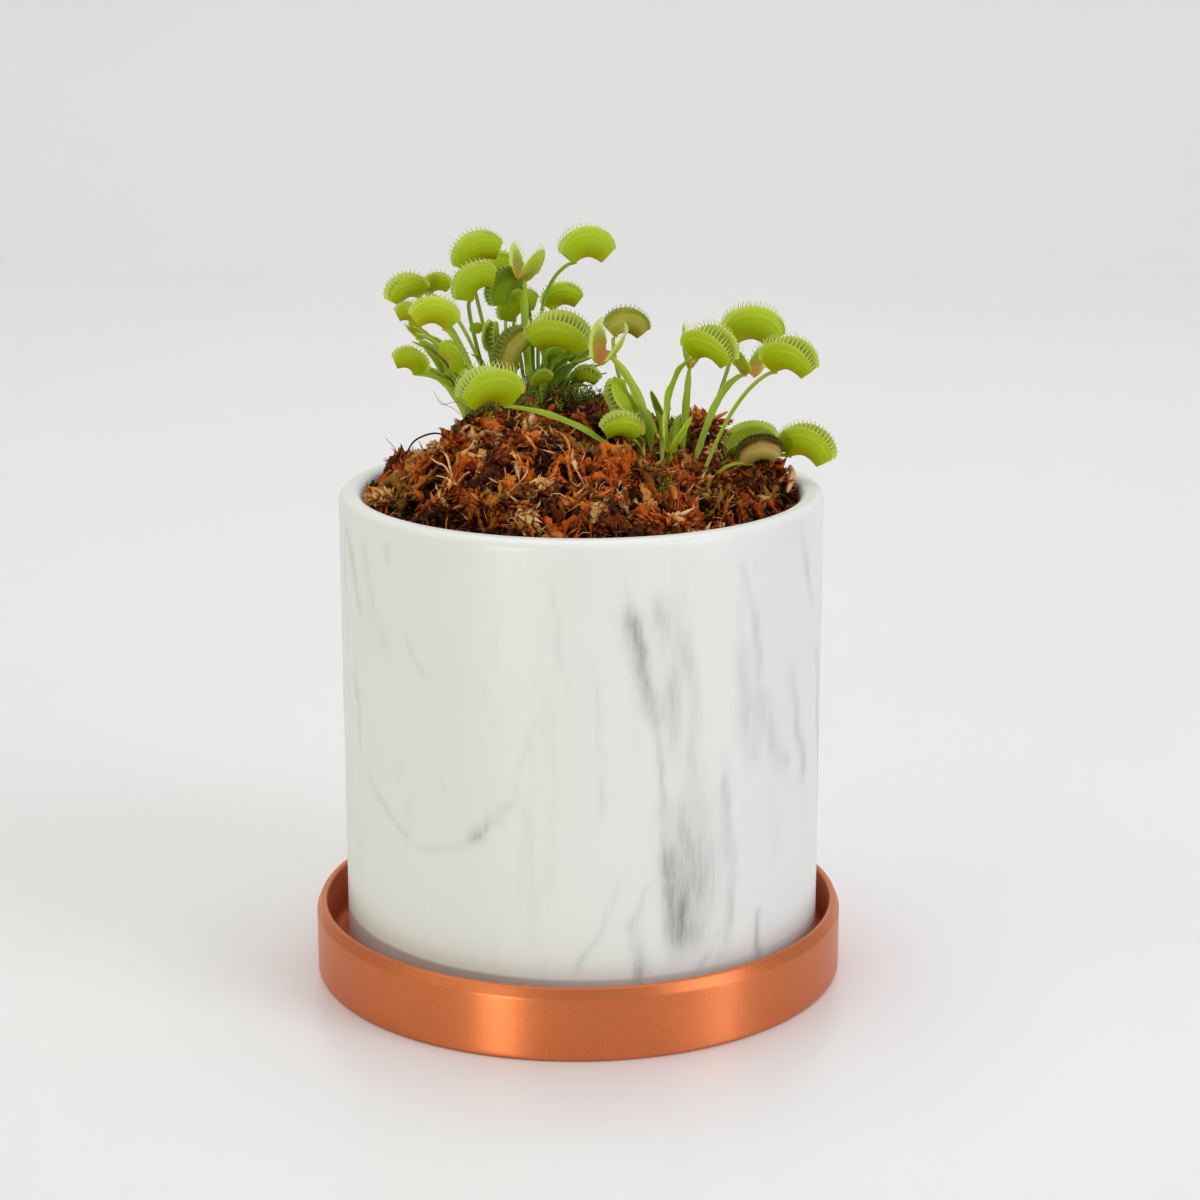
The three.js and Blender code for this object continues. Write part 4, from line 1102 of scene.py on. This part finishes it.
def trap_surface(leaf, s, q):
    """Points on the middle surface of a trap: s from heel (-1) to tip (1), q across both lobes."""
    along, out, side = trap_frame(leaf["aim"])
    half = math.radians(leaf["gape"] / 2)
    turn = s * math.pi / 2
    rise = leaf["rise"]
    corner = TRAP_CORNER * rise / TRAP_RISE
    soft = (np.sqrt(q ** 2 + HINGE_ROUND ** 2) - HINGE_ROUND) / (math.hypot(1, HINGE_ROUND) - HINGE_ROUND)
    rib_along = TRAP_CHORD / 2 * s
    rib_out = TRAP_ARCH * np.cos(turn)
    reach = corner + (rise - corner) * np.cos(turn) - rib_out
    belly = TRAP_BULGE * np.cos(0.8 * turn)
    forward = TRAP_CHORD / 2 + rib_along + (np.sin(turn) / 2 - rib_along) * soft
    outward = rib_out + reach * soft * math.cos(half) - belly * np.sin(np.pi * soft) * math.sin(half)
    sideways = reach * q * math.sin(half) + belly * np.sin(np.pi * q) * math.cos(half)
    parts = forward[..., None] * along + outward[..., None] * out + sideways[..., None] * side
    return np.array(leaf["heel"]) + leaf["span"] * parts


print("midrib of a trap that aims right:", trap_frame((0, 0, 0))[0])

# %% The blade, as a closed sheet
LOBE_ROWS = np.array([0.05, 0.12, 0.2, 0.3, 0.4, 0.5, 0.6, 0.68, 0.74, 0.77, 0.8, 0.83, 0.88, 0.94, 1])
ACROSS = np.concatenate([-LOBE_ROWS[::-1], [0], LOBE_ROWS])
GROWN_SPAN = 13
BLADE, MIDRIB, THINNER_RIM = 0.42, 0.5, 0.2
RIDGE, RIDGE_AT, RIDGE_WIDE = 0.2, 0.79, 0.03
FLARE, SCALLOP_OUTSIDE, SCALLOP_INSIDE = 0.8, 0.07, 0.05


def stoutness(leaf):
    """How thick a leaf is beside a grown one: thickness grows more slowly than span."""
    return (leaf["span"] / GROWN_SPAN) ** 0.5


def blade(leaf, teeth):
    """The trap as a closed sheet: outer face, inner face and the rim between them."""
    columns = 2 * teeth + 1
    s, q = np.meshgrid(np.linspace(-1, 1, columns), ACROSS)
    middle = trap_surface(leaf, s, q)
    step = 0.01
    run = trap_surface(leaf, s + step, q) - trap_surface(leaf, s - step, q)
    climb = trap_surface(leaf, s, q + step) - trap_surface(leaf, s, q - step)
    outside = unit(np.cross(run, climb))
    _, out, _ = trap_frame(leaf["aim"])
    if (outside[len(ACROSS) // 2] @ out).mean() > 0:
        outside = -outside
    size = stoutness(leaf)
    reach = np.abs(q)
    thick = size * (BLADE + MIDRIB * np.exp(-(reach / 0.1) ** 2) - THINNER_RIM * reach ** 6)
    ridge = size * RIDGE * np.exp(-((reach - RIDGE_AT) / RIDGE_WIDE) ** 2)
    flare = size * FLARE * np.clip((reach - 0.82) / 0.18, 0, 1) ** 2
    comb = np.cos(np.pi * teeth * (s + 1)) * np.clip((reach - 0.8) / 0.2, 0, 1)
    middle = middle + outside * flare[..., None]
    outer = middle + outside * (thick / 2 + ridge + SCALLOP_OUTSIDE * size * comb)[..., None]
    inner = middle - outside * (thick / 2 + SCALLOP_INSIDE * size * comb)[..., None]
    points = np.concatenate([outer.reshape(-1, 3), inner.reshape(-1, 3)])
    rows = len(ACROSS)
    edge = np.concatenate([np.arange(columns), columns * np.arange(1, rows) + columns - 1,
                           columns * rows - 2 - np.arange(columns - 1), columns * np.arange(rows - 2, 0, -1)])
    after = np.roll(edge, -1)
    rim = np.stack([edge, after, after + rows * columns, edge + rows * columns], -1)
    faces = [lattice(rows, columns), lattice(rows, columns, start=rows * columns)[:, ::-1], rim]
    shares = {"across": np.tile(reach.ravel(), 2), "inside": np.repeat([0.0, 1.0], reach.size)}
    return points, faces, shares, -outside


print("rows across both lobes:", len(ACROSS))

# %% [markdown]
# ### The teeth
# Each lobe's rim carries a row of soft pale teeth, and three short trigger hairs stand on the inside of an
# open lobe. A hair system would bend them at will. Thin cones of their own leave the rim in the lobe's plane
# and lean a little inwards, so that those of the two lobes would cross when the trap shuts.

# %% Thin cones


def hairs(starts, directions, bends, lengths, radius, sides=5):
    """Thin cones: each starts at a point, runs in a direction and bends towards another."""
    reach = np.array([0, 0.35, 0.7, 1.0])
    run = lengths[:, None, None] * reach[None, :, None]
    path = starts[:, None] + directions[:, None] * run + bends[:, None] * run * reach[None, :, None]
    forward = unit(np.gradient(path, axis=1))
    helper = np.where(np.abs(forward[:, :1, 2:]) > 0.8, (1.0, 0, 0), (0, 0, 1.0))
    across = unit(np.cross(forward, helper))
    off = np.cross(forward, across)
    turn = np.linspace(0, 2 * math.pi, sides, endpoint=False)
    taper = radius * (1 - 0.8 * reach)[None, :, None, None]
    ring = across[:, :, None] * np.cos(turn)[:, None] + off[:, :, None] * np.sin(turn)[:, None]
    points = (path[:, :, None] + ring * taper).reshape(-1, 3)
    return points, strip_faces(len(starts), len(reach), sides)


one_hair, _ = hairs(np.zeros((1, 3)), np.array([[0, 0, 1.0]]), np.zeros((1, 3)), np.ones(1), 0.1)
print("points of a hair:", len(one_hair))

# %% Teeth and trigger hairs
TOOTH_LENGTH, TOOTH_RADIUS, TOOTH_LEAN, TOOTH_ROOT = 0.155, 0.15, 0.45, 0.8
TRIGGER_LENGTH, TRIGGER_RADIUS = 0.09, 0.12


def fringe(leaf, teeth, rows_inward, dice):
    """The teeth of both lobes."""
    starts, directions, bends, lengths = [], [], [], []
    places = np.linspace(-0.93, 0.93, teeth)
    size = stoutness(leaf)
    for hand in (-1.0, 1.0):
        rim = trap_surface(leaf, places, np.full(teeth, hand))
        below = trap_surface(leaf, places, np.full(teeth, hand * 0.9))
        column = np.clip(np.round((places + 1) * teeth).astype(int), 0, 2 * teeth)
        inward = rows_inward[0 if hand < 0 else -1][column]
        starts.append(rim - inward * TOOTH_ROOT * size)
        directions.append(unit(unit(rim - below) + dice.normal(0, 0.06, (teeth, 3))))
        bends.append(inward * TOOTH_LEAN)
        fullness = 0.42 + 0.58 * np.cos(places * math.pi / 2)
        lengths.append(TOOTH_LENGTH * leaf["span"] * fullness * dice.uniform(0.85, 1.15, teeth))
    return hairs(np.concatenate(starts), np.concatenate(directions), np.concatenate(bends),
                 np.concatenate(lengths), TOOTH_RADIUS * size)


def triggers(leaf, rows_inward):
    """Three stiff hairs on the inside of each lobe."""
    s = np.array([-0.3, 0.3, 0.0] * 2)
    q = np.array([0.42, 0.42, 0.6, -0.42, -0.42, -0.6])
    columns = rows_inward.shape[1]
    inward = rows_inward[np.abs(ACROSS[:, None] - q).argmin(0), ((s + 1) / 2 * (columns - 1)).astype(int)]
    lengths = np.full(len(s), TRIGGER_LENGTH * leaf["span"])
    return hairs(trap_surface(leaf, s, q), inward, inward * 0, lengths, TRIGGER_RADIUS)


print("the longest teeth of a grown trap:", round(TOOTH_LENGTH * GROWN_SPAN, 1), "mm")

# %% [markdown]
# ### The stalk
# The stalk is a flat, winged petiole: widest above its middle, thin at the edges and thick along its
# middle, where the vein runs. A curve with a bevel would give a round rod. Here a section of ten sides
# follows a curve through the leaf's bend and changes its width on the way. A wide stalk's wings are wavy.

# %% Stalks
STALK_SECTION = np.array([(1, 0.12), (0.62, 0.42), (0.24, 0.95), (-0.24, 0.95), (-0.62, 0.42),
                          (-1, 0.12), (-0.62, -0.25), (-0.22, -0.9), (0.22, -0.9), (0.62, -0.25)])
STALK_STATIONS, STALK_WIDEST, STALK_FOOT, STALK_NECK, STALK_THICK, STALK_BURY = 26, 0.62, 1.3, 0.9, 1, 6


def stalk(leaf, dice):
    """The winged stalk from its buried foot to the trap's heel, with its shares."""
    along, _, side = trap_frame(leaf["aim"])
    x, y = leaf["root"]
    root = np.array([x, y, moss_height_at(x, y) - STALK_BURY])
    heel = np.array(leaf["heel"])
    pull = 2 * np.array(leaf["bend"]) - root / 2 - heel / 2
    u = np.linspace(0, 1, STALK_STATIONS)[:, None]
    middle = (1 - u) ** 2 * root + 2 * u * (1 - u) * pull + u ** 2 * heel
    forward = unit(2 * (1 - u) * (pull - root) + 2 * u * (heel - pull))
    middle[-1] += along * 0.9
    wing = unit(side - forward * (forward @ side)[:, None])
    roll = math.radians(leaf["roll"])
    wing = wing * math.cos(roll) + np.cross(forward, wing) * math.sin(roll)
    flat = np.cross(forward, wing)
    share = np.where(u < STALK_WIDEST, u / STALK_WIDEST, (1 - u) / (1 - STALK_WIDEST))
    end = np.where(u < STALK_WIDEST, STALK_FOOT, leaf.get("neck", STALK_NECK))
    width = end + (leaf["width"] - end) * np.sin(share * math.pi / 2)
    wave = 0.12 * max(leaf["width"] - 1.4, 0) * np.sin(26 * u + dice.uniform(0, 6))
    sections = []
    for a, b in STALK_SECTION:
        edge = wave * abs(a) ** 3
        thick = STALK_THICK / 2 * np.minimum(width, 1)
        sections.append(middle + wing * (a * width / 2 * (1 + edge)) + flat * (b * thick + edge))
    points = np.stack(sections, 1).reshape(-1, 3)
    run = np.repeat(u.ravel(), len(STALK_SECTION))
    shares = {"stalk": 0.002 + run, "across": np.tile(np.abs(STALK_SECTION[:, 0]), STALK_STATIONS)}
    return points, strip_faces(1, STALK_STATIONS, len(STALK_SECTION)), shares


print("stalk stations:", STALK_STATIONS)

# %% [markdown]
# ### The colour of the leaves
# The outside of a trap is lime green, more golden by the hinge, with a pale line along the ridge and a
# whitish rim. The inside of an open trap is paler and flushed with red. A material for each leaf would be
# long to keep in step. One finish serves all: it reads where each point lies on its lobe, and the leaf's
# own numbers for green, gold and flush.

# %% The two faces of a lobe
flesh = Finish("flytrap_leaf")
across = flesh.share("across")
inside = flesh.share("inside")
stem_run = flesh.share("stalk")
hair_share = flesh.share("tooth")
mottling = flesh.grain(2.4, 4, rough=0.6)
pores = flesh.grain(0.35, 2)
outer_tone = flesh.ramp(
    across + (mottling - 0.5) * 0.16,
    (0.0, 180, 164, 2), (0.15, 172, 176, 2), (0.5, 170, 190, 3), (0.74, 174, 197, 6),
    (0.79, 190, 208, 52), (0.83, 176, 200, 22), (0.93, 194, 212, 52), (1.0, 212, 222, 98),
)
inner_tone = flesh.ramp(
    across + (mottling - 0.5) * 0.16,
    (0.0, 196, 150, 60), (0.3, 190, 186, 60), (0.62, 182, 200, 66), (0.8, 188, 208, 76),
    (1.0, 208, 220, 112),
)
red = flesh.share("flush") * (0.3 + inside * 0.7) * (1 - across * 1.25).clamped()
face = flesh.blend(inside, outer_tone, inner_tone)
face = flesh.blend(((mottling - 0.42) * 2.4).clamped() * 0.16, face, tint(128, 152, 2))
face = flesh.blend(flesh.share("deep") * 0.75, face, tint(92, 128, 2))
face = flesh.blend(flesh.share("gold") * (1 - across) * 0.8, face, tint(178, 160, 4))
face = flesh.blend(red, face, tint(204, 116, 62))
print("nodes for the two faces of a lobe:", len(flesh.tree.nodes))

# %% [markdown]
# A dying trap turns straw-coloured from the middle and black along the rim. The same place on the lobe
# drives a second ramp, and the leaf's dry number blends it over the living colour. The stalk has a ramp of
# its own, from its pale foot upwards, and teeth are paler than either.

# %% Dry tissue, stalk and teeth
dry_tone = flesh.ramp(
    across + (mottling - 0.5) * 0.2,
    (0.0, 128, 142, 22), (0.3, 176, 160, 72), (0.66, 196, 172, 104), (0.86, 166, 122, 60),
    (0.92, 104, 44, 16), (0.96, 34, 20, 10), (1.0, 26, 20, 12),
)
face = flesh.blend(flesh.share("dry"), face, dry_tone)
stalk_tone = flesh.ramp(
    stem_run + (mottling - 0.5) * 0.2,
    (0.05, 204, 210, 120), (0.3, 150, 184, 14), (0.7, 136, 170, 4), (1.0, 164, 184, 12),
)
wing_edge = ((across - 0.7) * 3.3).clamped()
stalk_tone = flesh.blend(wing_edge * 0.6, stalk_tone, tint(184, 202, 52))
stalk_tone = flesh.blend(flesh.share("gold") * 0.6, stalk_tone, tint(196, 206, 90))
stalk_tone = flesh.blend(flesh.share("deep") * 0.8, stalk_tone, tint(62, 88, 6))
body = flesh.blend((stem_run > 0.001) * 1, face, stalk_tone)
hair_tone = flesh.blend(flesh.share("dry"), tint(206, 218, 124), tint(30, 22, 12))
body = flesh.blend(hair_share, body, hair_tone)
flesh.shade(
    Base_Color=flesh.blend(pores * 0.12, body, tint(96, 122, 2)),
    Roughness=0.46 + mottling * 0.14,
    Specular_IOR_Level=0.2,
    Subsurface_Weight=0.35,
    Subsurface_Radius=(0.8, 1.0, 0.2),
    Subsurface_Scale=0.001,
    Normal=flesh.relief(mottling + pores * 0.4, 0.12, 0.4),
)
print("leaf nodes:", len(flesh.tree.nodes))

# %% [markdown]
# ### Putting a leaf together
# Blade, teeth, trigger hairs and stalk grow as one, so they are joined into one mesh for each CAD node. The
# join gives every point all the shares, with 0 for those that its part lacks. The last leaf of the right
# crown is the withered one.

# %% Joining parts
MOST_SHUT = 30
TEETH_PER_MM, FEWEST_TEETH = 1.45, 7


def joined(parts):
    """Several parts, each of points, faces and shares, as one."""
    points = np.concatenate([part[0] for part in parts])
    faces, start = [], 0
    for part_points, part_faces, _ in parts:
        faces += [block + start for block in part_faces]
        start += len(part_points)
    shares = {}
    for share in dict.fromkeys(name for part in parts for name in part[2]):
        values = [np.broadcast_to(part[2].get(share, 0.0), len(part[0])) for part in parts]
        shares[share] = np.concatenate(values)
    return points, faces, shares


def whole_leaf(leaf, teeth, dice):
    """The blade, its teeth, the trigger hairs of an open trap, and the stalk."""
    sheet, sheet_faces, where, inward = blade(leaf, teeth)
    parts = [(sheet, sheet_faces, where)]
    parts.append((*fringe(leaf, teeth, inward, dice), {"tooth": 1.0, "across": 1.0}))
    if leaf["gape"] > MOST_SHUT:
        parts.append((*triggers(leaf, inward), {"tooth": 0.4, "inside": 1.0}))
    parts.append(stalk(leaf, dice))
    return joined(parts)


print("teeth on each lobe of a grown trap:", round(TEETH_PER_MM * GROWN_SPAN))

# %% Build the leaves
TRAP_CREASE = 50
DRY_LEAVES = {("middle", 6): 0.62, ("right", 3): 0.5, ("right", 16): 0.95}
ROLLED = {("right", 1): -50, ("right", 2): 30, ("left", 12): -40, ("left", 9): -30}
LEAF_TERMS = ("root", "bend", "heel", "aim", "span", "gape", "width", "looks", "rise")
leaf_dice = np.random.default_rng(21)
tooth_total = 0
for crown, rows in LEAVES.items():
    for number, row in enumerate(rows, 1):
        leaf = {"rise": TRAP_RISE, "roll": ROLLED.get((crown, number), 0)} | dict(zip(LEAF_TERMS, row))
        teeth = max(round(TEETH_PER_MM * leaf["span"]), FEWEST_TEETH)
        tooth_total += 2 * teeth
        points, faces, shares = whole_leaf(leaf, teeth, leaf_dice)
        deep, gold, flush = leaf["looks"]
        name, slot, node = f"flytrap_{crown}_{number:02d}", "leaf", f"leaf_{crown}_{number:02d}"
        if crown == "right" and number == len(rows):
            name, slot, node = "withered_trap", "withered", "withered_leaf"
        piece(name, points, faces, flesh, slot, [node], crease=TRAP_CREASE, deep=deep, gold=gold,
              flush=flush, dry=DRY_LEAVES.get((crown, number), 0.0), **shares)
print("teeth:", tooth_total)

# %% [markdown]
# ### Young leaves
# Between the traps, the growing points are full of narrow young leaves that carry no trap yet. They make
# the bunches look dense and dark inside. Placing each by hand would not pay. The stalk's own function makes
# them, with a pointed end, and a seeded dice draws where each one leans.

# %% Young leaves
# Foot x and y, count, range of headings, range of reach, range of height, range of width, deep, gold
YOUNG = {
    "left": (-20, 26, 16, (100, 250), (5, 15), (5, 15), (1.3, 3), 0.3, 0.2),
    "middle": (-10, 23, 22, (-60, 110), (5, 15), (5, 15), (1.3, 3), 0.5, 0.2),
    "right": (23, 4, 9, (60, 200), (5, 15), (5, 15), (1.3, 3), 0.35, 0.3),
    "far_left": (-24, 31, 8, (155, 205), (10, 19), (13, 25), (2, 4), 0, 1),
}
young_dice = np.random.default_rng(8)
for crown, (x, y, count, headings, reaches, heights, widths, deep, gold) in YOUNG.items():
    clump = []
    for index in range(count):
        heading = math.radians(np.interp((index + young_dice.random()) / count, (0, 1), headings))
        away = young_dice.uniform(*reaches)
        height = young_dice.uniform(*heights)
        foot = (x + 2.5 * math.cos(heading), y + 6 * math.sin(heading) * young_dice.random())
        low = moss_height_at(*foot)
        tip = (foot[0] + away * math.cos(heading), foot[1] + away * math.sin(heading), low + height)
        bend = (foot[0] * 0.6 + tip[0] * 0.4, foot[1] * 0.6 + tip[1] * 0.4, low + 0.62 * height)
        young = {"root": foot, "bend": bend, "heel": tip, "aim": (math.degrees(heading), 30, 0),
                 "width": young_dice.uniform(*widths), "neck": 0.3, "roll": young_dice.uniform(-60, 60)}
        clump.append(stalk(young, young_dice))
    points, faces, shares = joined(clump)
    piece(f"young_leaves_{crown}", points, faces, flesh, "leaf", deep=deep, gold=gold, **shares)
print("young leaves:", sum(row[2] for row in YOUNG.values()))

# %% [markdown]
# ## Live moss
# Fresh green moss has grown round the two crowns at the back, and one sprig in front. Green paint on the
# mound would stay flat. Its shoots are the scales of the dead branches again, thinner, spread wide, and
# paler towards the tip.

# %% Live moss
# Patches: x, y, spread, count, height
LIVE_PATCHES = [(-23, 9, 6, 44, 4), (-13, 9, 7, 46, 3.5), (-4, 16, 7, 50, 5), (3, 23, 7, 54, 4),
                (9, 26, 5, 26, 3), (-8, 30, 8, 30, 6), (-22, 30, 7, 26, 5), (20, -22, 2.5, 9, 2),
                (26, 14, 4, 10, 3)]
live_dice = np.random.default_rng(17)
shoots = []
for x, y, spread, count, tall in LIVE_PATCHES:
    at = live_dice.normal(0, spread / 2, (count, 2)) + (x, y)
    lean = live_dice.normal(0, 0.5, (count, 2))
    rise = np.linspace(-0.5, 1, 6)[None, :, None] * live_dice.uniform(0.5, 1, count)[:, None, None] * tall
    foot = np.concatenate([at, moss_top(at[:, 0], at[:, 1])[:, None] + 1.5], 1)
    shoots.append(foot[:, None] + rise * np.concatenate([lean, np.ones((count, 1))], 1)[:, None])
shoots = np.concatenate(shoots)
print("live shoots:", len(shoots))

# %% Scales and colour of the live moss
LIVE_SCALES = 26
sprig_at = np.repeat(shoots, 5, axis=1)[:, 2:2 + LIVE_SCALES]
sprig_turn = GOLDEN_TURN * np.arange(LIVE_SCALES) + live_dice.uniform(0, 6, (len(shoots), 1))
forward, side, off = path_frames(sprig_at, sprig_turn)
sprig_along = unit(forward * 0.8 + off)
sprig_points, sprig_faces = scales(sprig_at, sprig_along, side, 1.9, 0.2)
leafy = Finish("live_moss")
live_tone = leafy.ramp(leafy.share("tone"), (0.1, 22, 34, 4), (0.5, 66, 96, 8), (1, 136, 164, 30))
leafy.shade(Base_Color=live_tone, Roughness=0.5, Subsurface_Weight=0.2, Subsurface_Scale=0.0006,
            Normal=leafy.relief(leafy.grain(0.5, 3), 0.1))
live_share = np.repeat(live_dice.uniform(0.05, 0.75, len(shoots)), LIVE_SCALES * len(SCALE_POINTS))
live_share += np.tile(np.repeat(np.linspace(-0.1, 0.3, LIVE_SCALES), len(SCALE_POINTS)), len(shoots))
piece("live_moss", sprig_points, [sprig_faces], leafy, "moss", tone=np.clip(live_share, 0, 1))
print("live moss points:", len(sprig_points))

# %% [markdown]
# ## Loose roots, hairs and a straw
# A few dry roots, dark hairs and a straw lie on the moss and stand against the white pot, where the eye
# finds them at once. Curve objects with a bevel could make them. They are strips through a few listed
# points instead, so that they wear the moss's own finish. Each has a half width, a colour number and points.

# %% Routes of the threads
THREADS = {
    "black_arch": (0.34, 0.02, [(-43.4, 5, 128), (-42.4, 5, 131), (-40.6, 5, 133.8), (-37.6, 5, 135.4),
                                (-34.8, 5, 135.8), (-32.4, 5, 134.8), (-31, 5, 132)]),
    "grey_hair": (0.12, 0.3, [(-45, 14, 128), (-46.5, 14, 130.8), (-48.5, 14, 133)]),
    "root_a": (0.34, 0.97, [(-28.9, -24.8, 129), (-30.4, -19.2, 131.6), (-31.5, -14.2, 133.8),
                            (-33.6, -6.2, 134), (-35.5, -7.6, 133.4)]),
    "root_b": (0.38, 0.95, [(-28.9, -24.8, 129), (-31.7, -17, 131.8), (-33.7, -14.6, 132.3),
                            (-36, -9.6, 132.8)]),
    "root_c": (0.32, 0.95, [(-28.6, -25, 129), (-29.8, -26.4, 129.8), (-31.1, -24.5, 130.6),
                            (-34, -19.1, 130.2)]),
    "root_d": (0.32, 0.95, [(-28.9, -24.8, 129), (-26.8, -23.5, 131.4), (-24.1, -25.3, 132.5),
                            (-21.2, -28, 131.6), (-18.7, -31.2, 130.9)]),
    "root_e": (0.22, 0.92, [(-28, -24, 129.5), (-26.7, -21, 133), (-24.6, -20.5, 133.9)]),
    "root_f": (0.24, 0.9, [(-16.5, -34, 129), (-13.5, -30.3, 131), (-11.9, -27.8, 133), (-12.6, -26.9, 133.9),
                           (-14.6, -26.7, 133.6)]),
    "tan_strand": (0.5, 0.8, [(-2.5, -24, 133), (-2, -17, 136.6), (-3.4, -12, 138.6), (-5.5, -9, 139)]),
    "tan_sliver": (0.6, 0.8, [(-15.4, -7.5, 139.5), (-12.1, -14.5, 138.6), (-10, -18.5, 136.6)]),
    "straw": (0.9, 1.0, [(52, -1, 122), (53, 2, 124), (53.6, 5, 125.5), (53.4, 9, 126.8)]),
    "dry_leaf_tip": (0.9, 0.86, [(30, 23, 133.5), (33, 23, 135.6), (35.5, 23, 136.4), (38.2, 22.5, 137.9)]),
    "brown_hair_a": (0.09, 0.25, [(-27, 10, 137), (-30.5, 9, 141), (-34, 9, 143), (-36, 9, 146)]),
    "brown_hair_b": (0.09, 0.25, [(-25, 8, 138), (-29, 8, 143), (-33.5, 8, 142.5), (-35, 8, 144)]),
    "brown_hair_c": (0.09, 0.3, [(1, 20, 140), (-1, 19, 146), (4, 19, 151), (6, 19, 150)]),
    "brown_hair_d": (0.09, 0.3, [(4, 20, 140), (4, 19, 144), (0, 19, 149)]),
}
print("threads:", len(THREADS))

# %% Strips along smooth routes
THREAD_LIFT, DARK_TONE = 0.9, 0.1


def smooth_route(points, steps=6):
    """A smooth curve that passes through every given point."""
    knots = np.array([points[0]] + list(points) + [points[-1]], float)
    s = np.linspace(0, 1, steps, endpoint=False)[:, None]
    route = []
    for a, b, c, d in zip(knots, knots[1:], knots[2:], knots[3:]):
        route.append(b + 0.5 * s * (c - a + s * (2 * a - 5 * b + 4 * c - d + s * (3 * b - 3 * c + d - a))))
    return np.concatenate(route + [knots[-1:]])


for name, (radius, tone, points) in THREADS.items():
    route = smooth_route(points)[None] + (0, 0, THREAD_LIFT)
    wide = np.array([2 * radius])
    thread, thread_faces, thread_grain = ribbons(route, wide, 1.4 * radius, np.zeros(route.shape[:2]))
    # Dark threads take the near-black blend as their own colour; the others get no painted shade.
    moss_piece(name, thread, thread_faces, tone, 0.0, thread_grain, sunk=0.85 if tone < DARK_TONE else 0.0)
